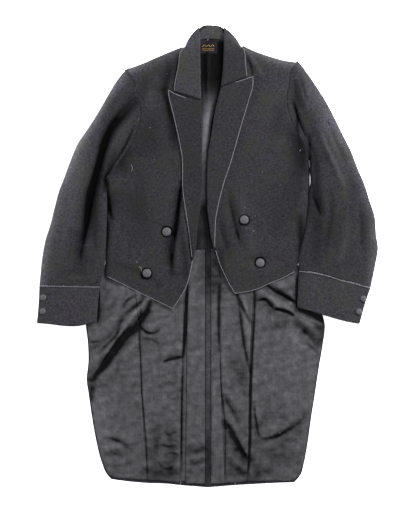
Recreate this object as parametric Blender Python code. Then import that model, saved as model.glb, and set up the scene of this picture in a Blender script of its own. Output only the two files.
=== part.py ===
"""A uniform tailcoat laid out flat on its back, with its fronts lying open over the lined tails.

The table is z = 0. +X runs to the viewer's right, +Y to the collar and +Z up. "r" and "l" are the wearer's
right and left, so an r piece lies on the viewer's left. Sizes are in millimetres until a mesh is made.
The cloth lies in layers, each made from the heights of the one that carries it:
wool back, linings, foreparts, lapels and collar, with a sleeve of two sheets and a cuff on each side.
"""

import math
from typing import NamedTuple

import bpy
import numpy as np
from mathutils import Vector
from mathutils.geometry import delaunay_2d_cdt

MM = 0.001

# Cloth, in mm
WOOL = 1.6  # one layer of shell cloth
LINING = 1.0
FRONT_WALL = 2.0  # wool, canvas and facing
SLEEVE_WALL = 2.0
CUFF_WALL = 2.4
COLLAR_WALL = 1.8
GAP = 0.3  # between pieces that touch
SEAM = GAP / 2  # each piece draws back this far from a seam line

# Heights of outer faces above the table, in mm
FRONT_HEIGHT = 12.0
ROLL_LIFT = 2.5  # the fronts rise towards the roll line
ROLL_REACH = 55.0
HEM_DROP = 2.5  # and sink towards their bottom edges
HEM_REACH = 30.0
CURL = 15.0  # how far in from a side fold or shoulder the cloth bends down to the table
LINING_BASE = WOOL + GAP
PLEAT_STEP = LINING + GAP + 0.2
HEM_LAP = 2.0  # the body lining's lower edge rises this far to lie over the tail linings

LAPEL_CLEAR = 0.8  # between a front and the lapel on it
LAPEL_SPRING = 1.2  # the lapel's edge springs up this far
PEAK_LIFT = {"r": 5.0, "l": 2.0}
ROLL_TURN = 2.2  # the cloth turns down this far at a roll line

# Grid sizes, in mm
FRONT_SPACING = 19.0
FRONT_OUTLINE = 21.0
LINING_SPACING = 22.0
OUTLINE_SPACING = 20.0
BACK_LINING_SPACING = 42.0
BACK_LINING_OUTLINE = 30.0
FLAT_SPACING = 40.0
FINE_SPACING = 11.0
SLEEVE_ROWS = 17
SLEEVE_COLUMNS = 11
CUFF_ROWS = 3

# Outlines: points x, y along each edge, in mm
SHOULDER = {
    "r": [(-56, 487), (-63, 485), (-110, 466), (-154, 447), (-187, 435)],
    "l": [(214, 450), (176, 456), (142, 466), (118, 474), (93, 485), (84, 490)],
}
ARMHOLE = {
    "r": [(-187, 435), (-171, 405), (-159, 363), (-154, 322), (-168, 280), (-194, 235), (-222, 198),
          (-237, 172)],
    "l": [(214, 450), (197, 435), (190, 398), (185, 364), (190, 331), (206, 294), (226, 257), (237, 226)],
}
SIDE = {
    "r": [(-237, 172), (-234, 116), (-235, 65), (-237, 14), (-238, -45)],
    "l": [(237, 226), (239, 177), (238, 130), (234, 91), (228, 57), (219, 20), (212, -16), (209, -33)],
}
BOTTOM = {
    "r": [(-238, -45), (-196, -65), (-171, -78), (-130, -98), (-80, -122)],
    "l": [(209, -33), (175, -51), (146, -63), (112, -78), (65, -87)],
}
FRONT_EDGE = {
    "r": [(-31, -8), (-35, -14), (-41, -44), (-48, -68), (-61, -93), (-80, -122)],
    "l": [(16, 16), (29, -18), (41, -44), (53, -68), (65, -87)],
}
ROLL = {
    "r": [(-13, 362), (-12, 247), (-12, 165), (-15, 124), (-19, 92), (-23, 59), (-26, 21), (-31, -8)],
    "l": [(29, 390), (15, 321), (8, 276), (2, 242), (-1, 200), (-1, 149), (0, 107), (4, 75), (9, 40), (16, 16)],
}
NECKLINE = {
    "r": [(-56, 487), (-45, 460), (-39, 430), (-31, 395), (-16, 362)],
    "l": [(84, 490), (66, 464), (60, 435), (50, 410), (32, 390)],
}
LAPEL_EDGE = {
    "r": [(-90, 384), (-88, 366), (-83, 346), (-76, 318), (-64, 263), (-58, 229), (-57, 190), (-57, 168),
          (-51, 112), (-44, 68), (-39, 30), (-35, -5)],
    "l": [(106, 416), (105, 392), (96, 361), (76, 294), (63, 247), (54, 216), (39, 172), (31, 142), (25, 116),
          (20, 89), (18, 62), (17, 22)],
}
GORGE = {
    "r": [(-13, 361), (-43, 365), (-77, 377), (-90, 384)],
    "l": [(31, 391), (60, 401), (95, 412), (106, 416)],
}
SLEEVE_OUTER = {
    "r": [(-187, 435), (-208, 410), (-231, 373), (-252, 336), (-276, 298), (-301, 261), (-317, 224),
          (-331, 186), (-345, 149), (-355, 112), (-364, 75), (-376, 37), (-383, 0), (-387, -37), (-390, -68)],
    "l": [(214, 450), (230, 429), (256, 391), (279, 354), (298, 317), (316, 280), (335, 242), (349, 205),
          (365, 168), (377, 130), (389, 93), (393, 47), (397, 19), (391, -19), (380, -73)],
}
SLEEVE_INNER = {
    "r": [(-239, 170), (-240, 116), (-242, 65), (-243, 14), (-244, -30), (-250, -70)],
    "l": [(239, 224), (245, 177), (244, 130), (239, 91), (232, 57), (223, 20), (216, -16), (213, -33)],
}
CUFF_LINE = {
    "r": [(-390, -68), (-346, -68), (-306, -69), (-250, -70)],
    "l": [(380, -73), (345, -63), (315, -56), (285, -46), (255, -39), (213, -33)],
}
CUFF_OUTER = {
    "r": [(-390, -68), (-392, -112), (-396, -156)],
    "l": [(380, -73), (368, -108), (354, -158)],
}
CUFF_INNER = {
    "r": [(-250, -70), (-253, -100), (-257, -150)],
    "l": [(213, -33), (211, -76), (209, -119)],
}
MOUTH = {
    "r": [(-396, -156), (-366, -158), (-333, -162), (-315, -163), (-286, -160), (-257, -150)],
    "l": [(354, -158), (319, -151), (270, -137), (241, -128), (209, -119)],
}
TAIL_SIDE = {
    "r": [(-234, -18), (-257, -30), (-273, -62), (-282, -103), (-283, -161), (-278, -205), (-277, -247),
          (-281, -289), (-277, -317), (-269, -373), (-259, -429), (-246, -480), (-234, -508), (-223, -520)],
    "l": [(209, -20), (232, -33), (246, -79), (265, -126), (274, -158), (269, -210), (261, -256), (250, -330),
          (242, -380), (234, -438), (226, -480), (217, -511), (203, -527)],
}
HEM = {
    "r": [(-223, -520), (-185, -525), (-138, -529), (-87, -531), (-62, -534)],
    "l": [(203, -527), (153, -529), (96, -532), (65, -534)],
}
TAIL_HEM_CENTRE = {"r": [(-62, -534), (1.5, -539)], "l": [(65, -534), (1.5, -539)]}
CENTRE_BACK = 1.5
BACK_NECK = {"r": [(1.5, 481), (-44, 481), (-58, 482)], "l": [(1.5, 481), (60, 481), (82, 484)]}
BACK_CORNER = {"r": (-176, 431), "l": (188, 441)}  # where the flat back ends under the top of the armhole
UNDERARM = 4  # the armhole point where the inner edge of the sleeve begins

# Seams of the wool back, x, y in mm, and of the tail linings
SIDE_BACK_SEAM = {
    "r": [(-163, 295), (-118, 215), (-80, 120), (-58, 4)],
    "l": [(198, 308), (132, 215), (88, 120), (61, 4)],
}
WAIST_SEAM = {"r": [(-58, 4), (-130, -8), (-234, -18)], "l": [(61, 4), (130, -8), (209, -20)]}
SKIRT_SEAM = {"r": [(-58, 4), (-58, -250), (-62, -534)], "l": [(61, 4), (62, -250), (65, -534)]}
LINING_TOP = 27.0
LINING_HEM = 6.0  # the tail linings stop this far above the hem
OUTER_LINING_SEAM = {
    "r": [(-175, -2), (-171, -44), (-164, -121), (-157, -172), (-154, -277), (-150, -382), (-138, -521)],
    "l": [(112, 16), (109, -56), (107, -103), (102, -172), (98, -277), (96, -405), (93, -525)],
}
INNER_LINING_EDGE = {
    "r": [(-55, LINING_TOP), (-57, -110), (-57, -219), (-60, -336), (-66, -528)],
    "l": [(31, LINING_TOP), (30, -149), (31, -289), (36, -405), (41, -529)],
}
FACING_FOLD = [(-44, LINING_TOP), (-46, -110), (-48, -336), (-50, -529)]  # the right facing's pleat edge
FACING_HEM = -531.0
VENT_BAND = (-5.0, 8.3)  # the wool strip up the middle of the tails, from x to x
VENT_HEM = -536.0
PLEAT_UNDER = ([(-61, -20), (-63, -250), (-70, -524)], [(-46, -524), (-42, -250), (-41, -20)])
PLEAT_REACH = 8.0  # the pleat's two edges stay lifted this far in
FACING_REACH = 6.0
TAIL_LINING_INSET = 3.0
CORNER_CLEAR = 4.0  # an edge's points closer than this to a corner are left out

# The body lining inside the back
BACK_LINING_SHOULDER = {"r": [(-38, 488), (-60, 472), (-160, 422)], "l": [(180, 428), (80, 470), (58, 488)]}
BACK_LINING_NECK = [(58, 488), (30, 499), (9, 501), (-10, 499), (-38, 488)]
BACK_LINING_HEM = [(-225, 22), (0, 17), (205, 22)]
BACK_LINING_INSET = 10.0
BACK_LINING_ROWS = (14.0, 30.0)
HEM_LAP_FROM = 48.0  # the lap begins at this y and is whole HEM_LAP_RUN lower
HEM_LAP_RUN = 12.0

# How far the flat back stays inside the folds of the fronts over it, in mm
BACK_SHOULDER_INSET = 3.4
BACK_ARMHOLE_INSET = 1.0
BACK_SIDE_INSET = 2.8
BACK_WAIST_CLEAR = 8.0

# How far a front stays back from its roll line, where the lapel turns, and from the front edge below it
ROLL_INSET = 3.9
EDGE_INSET = 2.8
FRONT_ROWS = (2.0, 7.0)

# The lapel's grid: shares from the roll line to its edge, past the turn at the roll line
LAPEL_ACROSS = [0.0, 0.3, 0.65, 1.0]
LAPEL_STATIONS = 19
LAPEL_TURN = 2.6
LAPEL_LEAST_WIDTH = 5.0
GORGE_SHARE = 0.12  # the gorge bends the lapel's rows over this share of its length
PEAK_SHARE = 0.22

# Heights and plan of the collar, from the gorge up over the shoulder, a row for each station:
# x and y at the roll, x and y at the leaf edge, outer height at the roll and at the leaf edge
COLLAR_FRONT = {
    "r": [(-14, 363.5, -77, 384, 18.5, 16.5), (-15, 400, -74, 406, 19, 16.5), (-15.5, 440, -67, 440, 19, 16),
          (-16, 475, -64, 466, 18, 13.5), (-16, 505, -58, 480, 16, 11)],
    "l": [(31, 393.5, 92, 418, 18.5, 16.5), (35, 425, 89, 442, 19, 16.5), (37, 460, 88, 462, 19, 15),
          (38, 485, 86, 474, 18, 13), (38, 508, 84, 482, 16, 11)],
}
COLLAR_FOLD = {"r": (-19, 529, -49, 487, 14, 8), "l": (39, 529, 76, 487, 14, 8)}
COLLAR_FOLD_BULGE = 6.0
COLLAR_FOLD_ANGLES = [80, 45, 0, -45, -90]  # round the fold at the shoulder, in degrees
COLLAR_ACROSS = np.array([0.0, 0.07, 0.3, 0.65, 1.0])
COLLAR_CLEAR = GAP + 0.3  # between the fall and the front under it
COLLAR_TURN = 2.4  # the fall turns down this far at its roll
COLLAR_BACK_TURN = 3.0
STAND_ACROSS = np.array([0.0, 0.5, 1.0])
COLLAR_BACK = {
    "r": [(-11, 535.5, -30, 484, 0, 0), (CENTRE_BACK - 0.2, 538, CENTRE_BACK - 0.2, 483, 0, 0)],
    "l": [(27, 535.5, 50, 484, 0, 0), (CENTRE_BACK + 0.2, 538, CENTRE_BACK + 0.2, 483, 0, 0)],
}
# The stand inside the neck, from the wearer's right to left, a row for each station:
# x and y at the roll, x and y at the neck seam, upper height at the roll and at the seam
COLLAR_STAND = [
    (-20, 430, -35, 427, 13.0, 10.0), (-20.5, 470, -37, 460, 13.0, 9.0), (-20, 500, -34, 485, 11.5, 7.5),
    (-13, 522, -24, 499, 9.0, 6.0), (-3, 532, -9, 504, 7.5, 5.0), (9, 535, 9, 505, 7.2, 5.0),
    (22, 533, 27, 504, 7.5, 5.0), (34, 524, 44, 498, 9.0, 6.0), (43, 503, 57, 484, 11.5, 7.5),
    (43, 475, 57, 464, 13.0, 9.0), (41, 440, 54, 436, 13.0, 10.0),
]

# The sleeve tube: how far along it, height of its side seams, rise of the top sheet above them
SLEEVE_SECTIONS = [(0.0, 4.5, 6.0), (0.12, 5.5, 12.0), (0.3, 6.5, 18.0), (0.55, 7.0, 19.0), (0.8, 7.0, 16.0),
                   (1.0, 7.5, 13.0)]
SLEEVE_HEAD = 55.0  # the top sheet leaves the height of the front over this distance from the armhole
SLEEVE_CLEAR = 0.8  # between the sleeve and the armhole
SLEEVE_LEAST = 3.2  # the side seams stay this far above what the sleeve lies on
LEVEL_FREE = 0.15  # the two sheets meet at a level side seam once they are this free of the armhole
TOP_ROUNDNESS = 2.3
UNDER_ROUNDNESS = 3.5
CUFF_STEP = 0.8  # the cuff stands this far proud of the sleeve
TAIL_LIFT = 4.6  # sleeves and cuffs pass this high over the tails
TAIL_LIFT_REACH = 12.0

# Buttons: x, y and radius in mm
FRONT_BUTTONS = {"r": [(-94, 56), (-140, -40)], "l": [(86, 84), (123, -16)]}
FRONT_BUTTON_RADIUS = 10.0
CUFF_BUTTONS = {"r": [(-380, -96), (-381, -128)], "l": [(362, -99), (352, -129)]}
CUFF_BUTTON_RADIUS = 7.0
BUTTON_SIDES = 16
BUTTON_PROFILE = [(0.82, 0.0), (1.0, 0.10), (1.0, 0.22), (0.72, 0.38)]  # shares of the radius, out and up
BUTTON_DOME = 0.42  # height over radius

LABEL = (2.0, 485.0, 42.0, 28.0)  # centre x, y, width and height


class Fold(NamedTuple):
    """A ridge of the cloth, or a trough where its height is below 0, and how wide it is on each side."""

    path: list
    height: float
    left: float
    right: float


FRONT_FOLDS = [
    Fold([(-50, 165), (-57, 119), (-64, 72), (-70, 20), (-74, -40)], 3.6, 18, 22),
    Fold([(-62, 160), (-76, 72), (-90, -30)], -4.0, 14, 12),
    Fold([(54, 140), (70, 65), (82, 5)], -2.6, 12, 14),
    Fold([(66, 150), (88, 60), (100, -5)], 1.8, 16, 20),
    Fold([(28, 100), (40, 45), (52, -20)], -1.6, 10, 12),
    Fold([(-170, 390), (-120, 340), (-95, 270)], 2.0, 26, 30),
    Fold([(190, 420), (150, 330), (150, 240)], 2.0, 30, 26),
    Fold([(-215, 150), (-160, 90), (-150, 20)], -1.8, 26, 26),
    Fold([(215, 190), (165, 110), (160, 30)], -1.6, 26, 26),
]
SLEEVE_FOLDS = [
    Fold([(-160, 372), (-187, 329), (-220, 291), (-248, 212), (-269, 130), (-287, 26)], -8.0, 15, 20),
    Fold([(-166, 345), (-206, 285), (-232, 220), (-250, 140)], 3.0, 14, 16),
    Fold([(-262, 320), (-300, 205), (-318, 90), (-322, -40)], 3.0, 30, 34),
    Fold([(-304, 60), (-300, 10), (-296, -50)], -4.0, 16, 18),
    Fold([(236, 262), (246, 224), (253, 130), (268, 90)], -8.0, 14, 16),
    Fold([(200, 410), (206, 370), (214, 335)], -3.0, 12, 12),
    Fold([(222, 420), (224, 372), (232, 330)], 2.5, 14, 14),
    Fold([(308, 96), (296, 60), (281, 14)], -4.0, 16, 20),
    Fold([(350, 96), (358, 50), (358, 2)], -4.0, 16, 16),
    Fold([(262, 330), (300, 220), (322, 110)], 2.0, 26, 30),
]
TAIL_FOLDS = [
    Fold([(-118, -78), (-150, -118), (-180, -152), (-205, -186), (-240, -232), (-282, -262)], 6.5, 15, 11),
    Fold([(-150, -75), (-180, -108), (-206, -140), (-236, -180), (-276, -215)], 5.0, 13, 13),
    Fold([(-180, -70), (-205, -92), (-230, -120), (-262, -150)], 3.5, 14, 14),
    Fold([(-160, -195), (-200, -240), (-245, -285), (-282, -310)], 3.0, 16, 16),
    Fold([(-152, -160), (-132, -168), (-112, -160)], 3.5, 8, 12),
    Fold([(-112, -228), (-85, -222), (-62, -214)], 3.5, 8, 12),
    Fold([(-244, -424), (-215, -418), (-176, -434)], 2.5, 10, 12),
    Fold([(-240, -452), (-215, -448), (-190, -456)], 2.2, 9, 10),
    Fold([(-96, -330), (-88, -400), (-92, -490)], 1.8, 14, 12),
    Fold([(112, -98), (138, -94), (160, -116), (201, -130)], 5.0, 12, 12),
    Fold([(140, -58), (171, -78), (207, -98), (244, -120), (270, -142)], 5.5, 12, 10),
    Fold([(200, -150), (236, -168), (268, -190)], 3.0, 14, 12),
    Fold([(60, -92), (76, -126), (84, -190), (92, -270)], 3.2, 12, 10),
    Fold([(46, -372), (66, -402), (78, -440), (92, -470)], 3.2, 10, 12),
    Fold([(104, -330), (116, -392), (124, -420), (170, -408), (214, -366)], 2.2, 9, 12),
    Fold([(180, -240), (190, -300), (176, -380)], 1.6, 26, 30),
]

# Colours, as linear RGB, and roughness of each cloth
WOOL_CLOTH = ((0.036, 0.036, 0.04), 0.9)
SATIN_LINING = ((0.085, 0.085, 0.095), 0.45)
BODY_LINING = ((0.07, 0.07, 0.08), 0.55)
BUTTON_CLOTH = ((0.09, 0.09, 0.095), 0.7)
LABEL_SATIN = ((0.012, 0.012, 0.014), 0.5)


# Lines

def resampled(points, shares):
    """Points at the given shares of the way along a polyline."""
    points = np.asarray(points, float)
    lengths = np.concatenate([[0.0], np.cumsum(np.linalg.norm(np.diff(points, axis=0), axis=1))])
    return np.column_stack([np.interp(np.asarray(shares) * lengths[-1], lengths, axis) for axis in points.T])


def curve(points, spacing=None, shares=None):
    """Points along the smooth curve through the given ones, at a spacing or at shares of its length."""
    points = np.asarray(points, float)
    at = np.concatenate([[0.0], np.cumsum(np.linalg.norm(np.diff(points, axis=0), axis=1))])
    if len(points) > 2:
        slope = np.gradient(points, at, axis=0)
        fine = []
        for i, step in enumerate(np.diff(at)):
            t = np.linspace(0, 1, 9)[:, None]
            fine.append(
                points[i] * (2 * t**3 - 3 * t**2 + 1) + points[i + 1] * (3 * t**2 - 2 * t**3)
                + step * slope[i] * (t**3 - 2 * t**2 + t) + step * slope[i + 1] * (t**3 - t**2)
            )
        points = np.concatenate(fine)
        points = points[np.concatenate([[True], np.linalg.norm(np.diff(points, axis=0), axis=1) > 1e-6])]
    if shares is None:
        length = np.linalg.norm(np.diff(points, axis=0), axis=1).sum()
        shares = np.linspace(0, 1, max(2, round(length / spacing) + 1))
    return resampled(points, shares)


def outline(*edges, spacing=OUTLINE_SPACING, fine=None):
    """One closed outline, anticlockwise, from edges that follow each other end to end. The edge numbered fine
    has its points closer together."""
    spacings = [FINE_SPACING if i == fine else spacing for i in range(len(edges))]
    points = np.concatenate([curve(*pair) for pair in zip(edges, spacings)])
    points = points[np.linalg.norm(points - np.roll(points, 1, axis=0), axis=1) > 0.5]
    x, y = points.T
    area = (x * np.roll(y, -1) - np.roll(x, -1) * y).sum()
    return points if area > 0 else points[::-1]


def quadrilateral(down, up, spacing=OUTLINE_SPACING):
    """The outline between an edge that runs down and one that runs up beside it, closed by straight ends."""
    return outline(down, [down[-1], up[0]], up, [up[-1], down[0]], spacing=spacing)


def drawn_in(points, distance):
    """A closed anticlockwise outline with every edge moved in by a distance."""
    before = points - np.roll(points, 1, axis=0)
    after = np.roll(points, -1, axis=0) - points
    left = [np.column_stack([-way[:, 1], way[:, 0]]) / np.linalg.norm(way, axis=1)[:, None]
            for way in (before, after)]
    middle = left[0] + left[1]
    middle /= np.linalg.norm(middle, axis=1)[:, None]
    stretch = np.maximum((middle * left[0]).sum(1), 0.4)
    return points + middle * (distance / stretch)[:, None]


def nearest(points, path):
    """Each point's distance to a path, signed + on its left, and the share of the path where it is nearest."""
    moved = np.linalg.norm(np.diff(path, axis=0), axis=1) > 1e-6
    start = path[:-1][moved]
    run = np.diff(path, axis=0)[moved]
    lengths = np.linalg.norm(run, axis=1)
    offset = points[:, None, :] - start[None]
    share = np.clip((offset * run).sum(2) / lengths**2, 0, 1)
    far = np.linalg.norm(offset - share[..., None] * run, axis=2)
    best = far.argmin(1)
    row = np.arange(len(points))
    begun = np.concatenate([[0.0], np.cumsum(lengths)[:-1]])
    along = (begun[best] + share[row, best] * lengths[best]) / lengths.sum()
    cross = run[best, 0] * offset[row, best, 1] - run[best, 1] * offset[row, best, 0]
    return np.where(cross < 0, -1, 1) * far[row, best], along


def eased(values):
    """0 to 1, with soft ends."""
    values = np.clip(values, 0, 1)
    return values * values * (3 - 2 * values)


# Heights

def relief(points, folds):
    """What the folds add to the height at each point."""
    rise = np.zeros(len(points))
    for fold in folds:
        far, along = nearest(points, curve(fold.path, 12.0))
        width = np.where(far > 0, fold.left, fold.right)
        rise += fold.height * np.sqrt(abs(np.sin(np.pi * along))) * np.exp(-((far / width) ** 2))
    return rise


def front_height(points):
    """Outer height of the foreparts: a low plateau that curls down to the table at side folds and shoulders."""
    edges = [SHOULDER["r"], SIDE["r"], SHOULDER["l"], SIDE["l"][::-1]]
    inside = np.min([nearest(points, np.array(edge, float))[0] for edge in edges], axis=0)
    curl = np.sqrt(1 - (1 - np.clip(inside / CURL, 0, 1)) ** 2)
    roll = np.min([abs(nearest(points, np.array(ROLL[side], float))[0]) for side in "rl"], axis=0)
    hem = np.min([abs(nearest(points, np.array(BOTTOM[side], float))[0]) for side in "rl"], axis=0)
    plateau = FRONT_HEIGHT + ROLL_LIFT * np.exp(-((roll / ROLL_REACH) ** 2))
    plateau -= HEM_DROP * np.exp(-((hem / HEM_REACH) ** 2))
    ground = carried_height(points)
    return ground + (plateau + relief(points, FRONT_FOLDS) - ground) * curl


def carried_height(points):
    """Height of what the fronts' sides, the sleeves and the cuffs lie on: the table, or the edge of a tail."""
    lift = np.zeros(len(points))
    for side in "rl":
        edge = curve(TAIL_SIDE[side], 12.0)
        if side == "l":
            edge = edge[::-1]
        inside = nearest(points, edge)[0]
        within = eased((30.0 - points[:, 1]) / 30.0)
        lift = np.maximum(lift, TAIL_LIFT * eased((inside + TAIL_LIFT_REACH + 2.0) / TAIL_LIFT_REACH) * within)
    return lift


def resting_height(points):
    """The lowest that a piece may reach beside or over a tail."""
    return np.where(carried_height(points) > 0.5 * TAIL_LIFT, LINING_BASE + LINING + GAP, 0.0)


def tail_height(points):
    """Upper height of the tail linings, flattened where the sleeves and the body lie on them."""
    folds = relief(points, TAIL_FOLDS)
    under_sleeve = np.ones(len(points))
    for side in "rl":
        ring = np.concatenate([CUFF_INNER[side], SLEEVE_INNER[side]]).astype(float)
        ring = ring[np.argsort(ring[:, 1])]
        if side == "l":
            ring = ring[::-1]
        clear = -nearest(points, ring)[0]
        under_sleeve = np.minimum(under_sleeve, eased((clear - 1.0) / 20.0))
    body = eased((20.0 - points[:, 1]) / 60.0)
    return LINING_BASE + LINING + np.clip(folds, 0, None) * under_sleeve * body


# Meshes

def finish(obj, cloth):
    """Give a piece its own material, from a cloth's colour and roughness."""
    colour, roughness = cloth
    material = bpy.data.materials.new(obj.name)
    material.use_nodes = True
    shader = material.node_tree.nodes["Principled BSDF"]
    shader.inputs["Base Color"].default_value = (*colour, 1.0)
    shader.inputs["Roughness"].default_value = roughness
    shader.inputs["Metallic"].default_value = 0.0
    obj.data.materials.append(material)


def wall(name, cloth, upper, lower, triangles):
    """A closed piece of cloth between two faces that share their triangles."""
    count = len(upper)
    triangles = np.asarray(triangles)
    ends = np.concatenate([triangles[:, [0, 1]], triangles[:, [1, 2]], triangles[:, [2, 0]]])
    both_ways = {(a, b) for a, b in ends.tolist()}
    rim = np.array([(a, b) for a, b in both_ways if (b, a) not in both_ways])
    faces = [*triangles.tolist(), *(triangles[:, ::-1] + count).tolist()]
    faces += np.column_stack([rim[:, 1], rim[:, 0], rim[:, 0] + count, rim[:, 1] + count]).tolist()
    mesh = bpy.data.meshes.new(name)
    mesh.from_pydata((np.concatenate([upper, lower]) * MM).tolist(), [], faces)
    mesh.validate()
    mesh.shade_smooth()
    obj = bpy.data.objects.new(name, mesh)
    bpy.context.scene.collection.objects.link(obj)
    finish(obj, cloth)
    return obj


def normals(points, triangles):
    """The unit normal of a surface at each of its points."""
    corner = points[np.asarray(triangles)]
    face = np.cross(corner[:, 1] - corner[:, 0], corner[:, 2] - corner[:, 0])
    total = np.zeros_like(points)
    for i in range(3):
        np.add.at(total, np.asarray(triangles)[:, i], face)
    return total / np.linalg.norm(total, axis=1)[:, None]


def contained(points, ring):
    """Which points lie inside a closed outline."""
    x, y = points.T
    result = np.zeros(len(points), bool)
    for (x0, y0), (x1, y1) in zip(ring, np.roll(ring, -1, axis=0)):
        crosses = (y0 > y) != (y1 > y)
        if y0 != y1:
            result ^= crosses & (x < (x1 - x0) * (y - y0) / (y1 - y0) + x0)
    return result


def net(ring, spacing, rows=()):
    """Points and triangles over an outline: its own points, rows set in from it, and a field between."""
    closed = np.concatenate([ring, ring[:1]])
    inner = []
    for depth in rows:
        row = drawn_in(ring, depth)
        far = nearest(row, closed)[0]
        inner.append(row[contained(row, ring) & (abs(far) > 0.85 * depth)])
    low, high = ring.min(0), ring.max(0)
    pitch = spacing * math.sqrt(3) / 2
    field = [
        (x + spacing / 2 * (j % 2), y)
        for j, y in enumerate(np.arange(low[1], high[1], pitch))
        for x in np.arange(low[0], high[0], spacing)
    ]
    field = np.array(field)
    reach = (max(rows) if rows else 0) + 0.55 * spacing
    field = field[contained(field, ring)]
    if len(field):
        field = field[abs(nearest(field, closed)[0]) > reach]
    points = np.concatenate([ring, *inner, field]) if len(field) else np.concatenate([ring, *inner])
    count = len(ring)
    edges = [(i, (i + 1) % count) for i in range(count)]
    flat, _, triangles, *_ = delaunay_2d_cdt([Vector(p) for p in points], edges, [], 1, 1e-4)
    return np.array([tuple(p) for p in flat]), np.array([tuple(t) for t in triangles])


def shifted(path, distance):
    """A path moved sideways, to its left where the distance is positive."""
    path = np.asarray(path, float)
    way = np.gradient(path, axis=0)
    way /= np.linalg.norm(way, axis=1)[:, None]
    return path + distance * np.column_stack([-way[:, 1], way[:, 0]])


def slab(name, cloth, ring, low, thickness):
    """A flat piece of cloth."""
    flat, triangles = net(ring, 4000.0)
    upper = np.column_stack([flat, np.full(len(flat), low + thickness)])
    lower = np.column_stack([flat, np.full(len(flat), low)])
    return wall(name, cloth, upper, lower, triangles)


def sheet(name, cloth, ring, height, thickness, spacing, rows=(), floor=None):
    """A piece of cloth whose outer face follows a height function. It never goes below its floor."""
    flat, triangles = net(ring, spacing, rows)
    upper = np.column_stack([flat, height(flat)])
    lower = upper - thickness * normals(upper, triangles)
    if floor is not None:
        lower[:, 2] = np.maximum(lower[:, 2], floor(lower[:, :2]))
        upper[:, 2] = np.maximum(upper[:, 2], floor(upper[:, :2]))
    return wall(name, cloth, upper, lower, triangles)


def grid_triangles(rows, columns, closed=False):
    """Triangles of a grid of points; a closed one joins its last column to its first."""
    result = []
    for i in range(rows - 1):
        for j in range(columns if closed else columns - 1):
            a, b = i * columns + j, i * columns + (j + 1) % columns
            result += [(a, a + columns, b), (b, a + columns, b + columns)]
    return np.array(result)


def strip(name, cloth, grid, thickness, closed=False, level=None):
    """Cloth whose outer face is a grid of points. Where level is true, its wall is cut level."""
    rows, columns, _ = grid.shape
    triangles = grid_triangles(rows, columns, closed)
    points = grid.reshape(-1, 3)
    out = normals(points, triangles).reshape(grid.shape)
    if level is not None:
        out[level, 2] = 0
        out[level] /= np.linalg.norm(out[level], axis=1)[:, None]
    lower = (grid - thickness * out).reshape(-1, 3)
    return wall(name, cloth, points, lower, triangles)


# Wool back

def build_back(side):
    """The back, side body and tail skirt of one side, flat on the table."""
    inward = 1 if side == "r" else -1
    shoulder = np.array(SHOULDER[side][::inward], float)[1:-1] - (0, BACK_SHOULDER_INSET)
    armhole = shifted(curve(ARMHOLE[side], OUTLINE_SPACING), BACK_ARMHOLE_INSET * inward)
    seam = SIDE_BACK_SEAM[side]
    split = abs(nearest(armhole, np.array([seam[0], (seam[0][0], seam[0][1] + 1)], float))[0]).argmin()
    seam = [tuple(armhole[split]), *seam[1:]]
    corner = BACK_CORNER[side]
    upper_arm = np.concatenate([[corner], armhole[2:split + 1]])
    fold = np.array(SIDE[side], float) + (BACK_SIDE_INSET * inward, 0)
    fold = fold[fold[:, 1] > WAIST_SEAM[side][-1][1] + BACK_WAIST_CLEAR]
    under_arm = np.concatenate([armhole[split:-1], fold[:1]])
    hem = TAIL_HEM_CENTRE[side]
    back = outline(
        BACK_NECK[side], [BACK_NECK[side][-1], *shoulder, corner], upper_arm, seam, SKIRT_SEAM[side], hem,
        [hem[-1], BACK_NECK[side][0]], spacing=FLAT_SPACING,
    )
    slab(f"back_{side}", WOOL_CLOTH, drawn_in(back, SEAM), 0, WOOL)
    waist = WAIST_SEAM[side]
    body = outline(seam[::-1], under_arm, fold, [fold[-1], waist[-1]], waist[::-1], spacing=FLAT_SPACING)
    slab(f"side_body_{side}", WOOL_CLOTH, drawn_in(body, SEAM), 0, WOOL)
    skirt = outline(waist, TAIL_SIDE[side], HEM[side], SKIRT_SEAM[side][::-1], spacing=FLAT_SPACING)
    slab(f"skirt_{side}", WOOL_CLOTH, drawn_in(skirt, SEAM), 0, WOOL)


# Linings

def build_back_lining():
    """The body lining, one sheet inside the back, its lower edge lying over the tail linings."""
    def height(points):
        lap = eased((HEM_LAP_FROM - points[:, 1]) / HEM_LAP_RUN)
        return LINING_BASE + LINING + HEM_LAP * lap

    sides = {}
    for side, inward in (("r", 1), ("l", -1)):
        armhole = curve(ARMHOLE[side], 30.0)
        fold = np.array(SIDE[side], float)
        fold = fold[fold[:, 1] > max(y for _, y in BACK_LINING_HEM[::2]) - 2.0]
        sides[side] = np.concatenate([armhole[2:-1], fold[1:]]) + (BACK_LINING_INSET * inward, 0)
    right, left = sides["r"], sides["l"]
    shoulder = BACK_LINING_SHOULDER
    ring = outline(
        [*shoulder["r"], right[0]], right, [right[-1], *BACK_LINING_HEM, left[-1]], left[::-1],
        [left[0], *shoulder["l"]], BACK_LINING_NECK, spacing=BACK_LINING_OUTLINE,
    )
    sheet("back_lining", BODY_LINING, ring, height, LINING, BACK_LINING_SPACING, rows=BACK_LINING_ROWS)


def tail_panel(name, cloth, ring, thickness, steps=()):
    """One panel of the tail lining. steps lifts it by PLEAT_STEP near each path that is named there."""
    def height(points):
        lift = np.zeros(len(points))
        for path, reach in steps:
            lift = np.maximum(lift, 1 - eased((abs(nearest(points, np.array(path, float))[0]) - reach) / 14.0))
        lift *= eased((8.0 - points[:, 1]) / 24.0)
        return tail_height(points) + PLEAT_STEP * lift + thickness - LINING

    sheet(name, cloth, drawn_in(ring, SEAM), height, thickness, LINING_SPACING,
          floor=lambda points: LINING_BASE)


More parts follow.
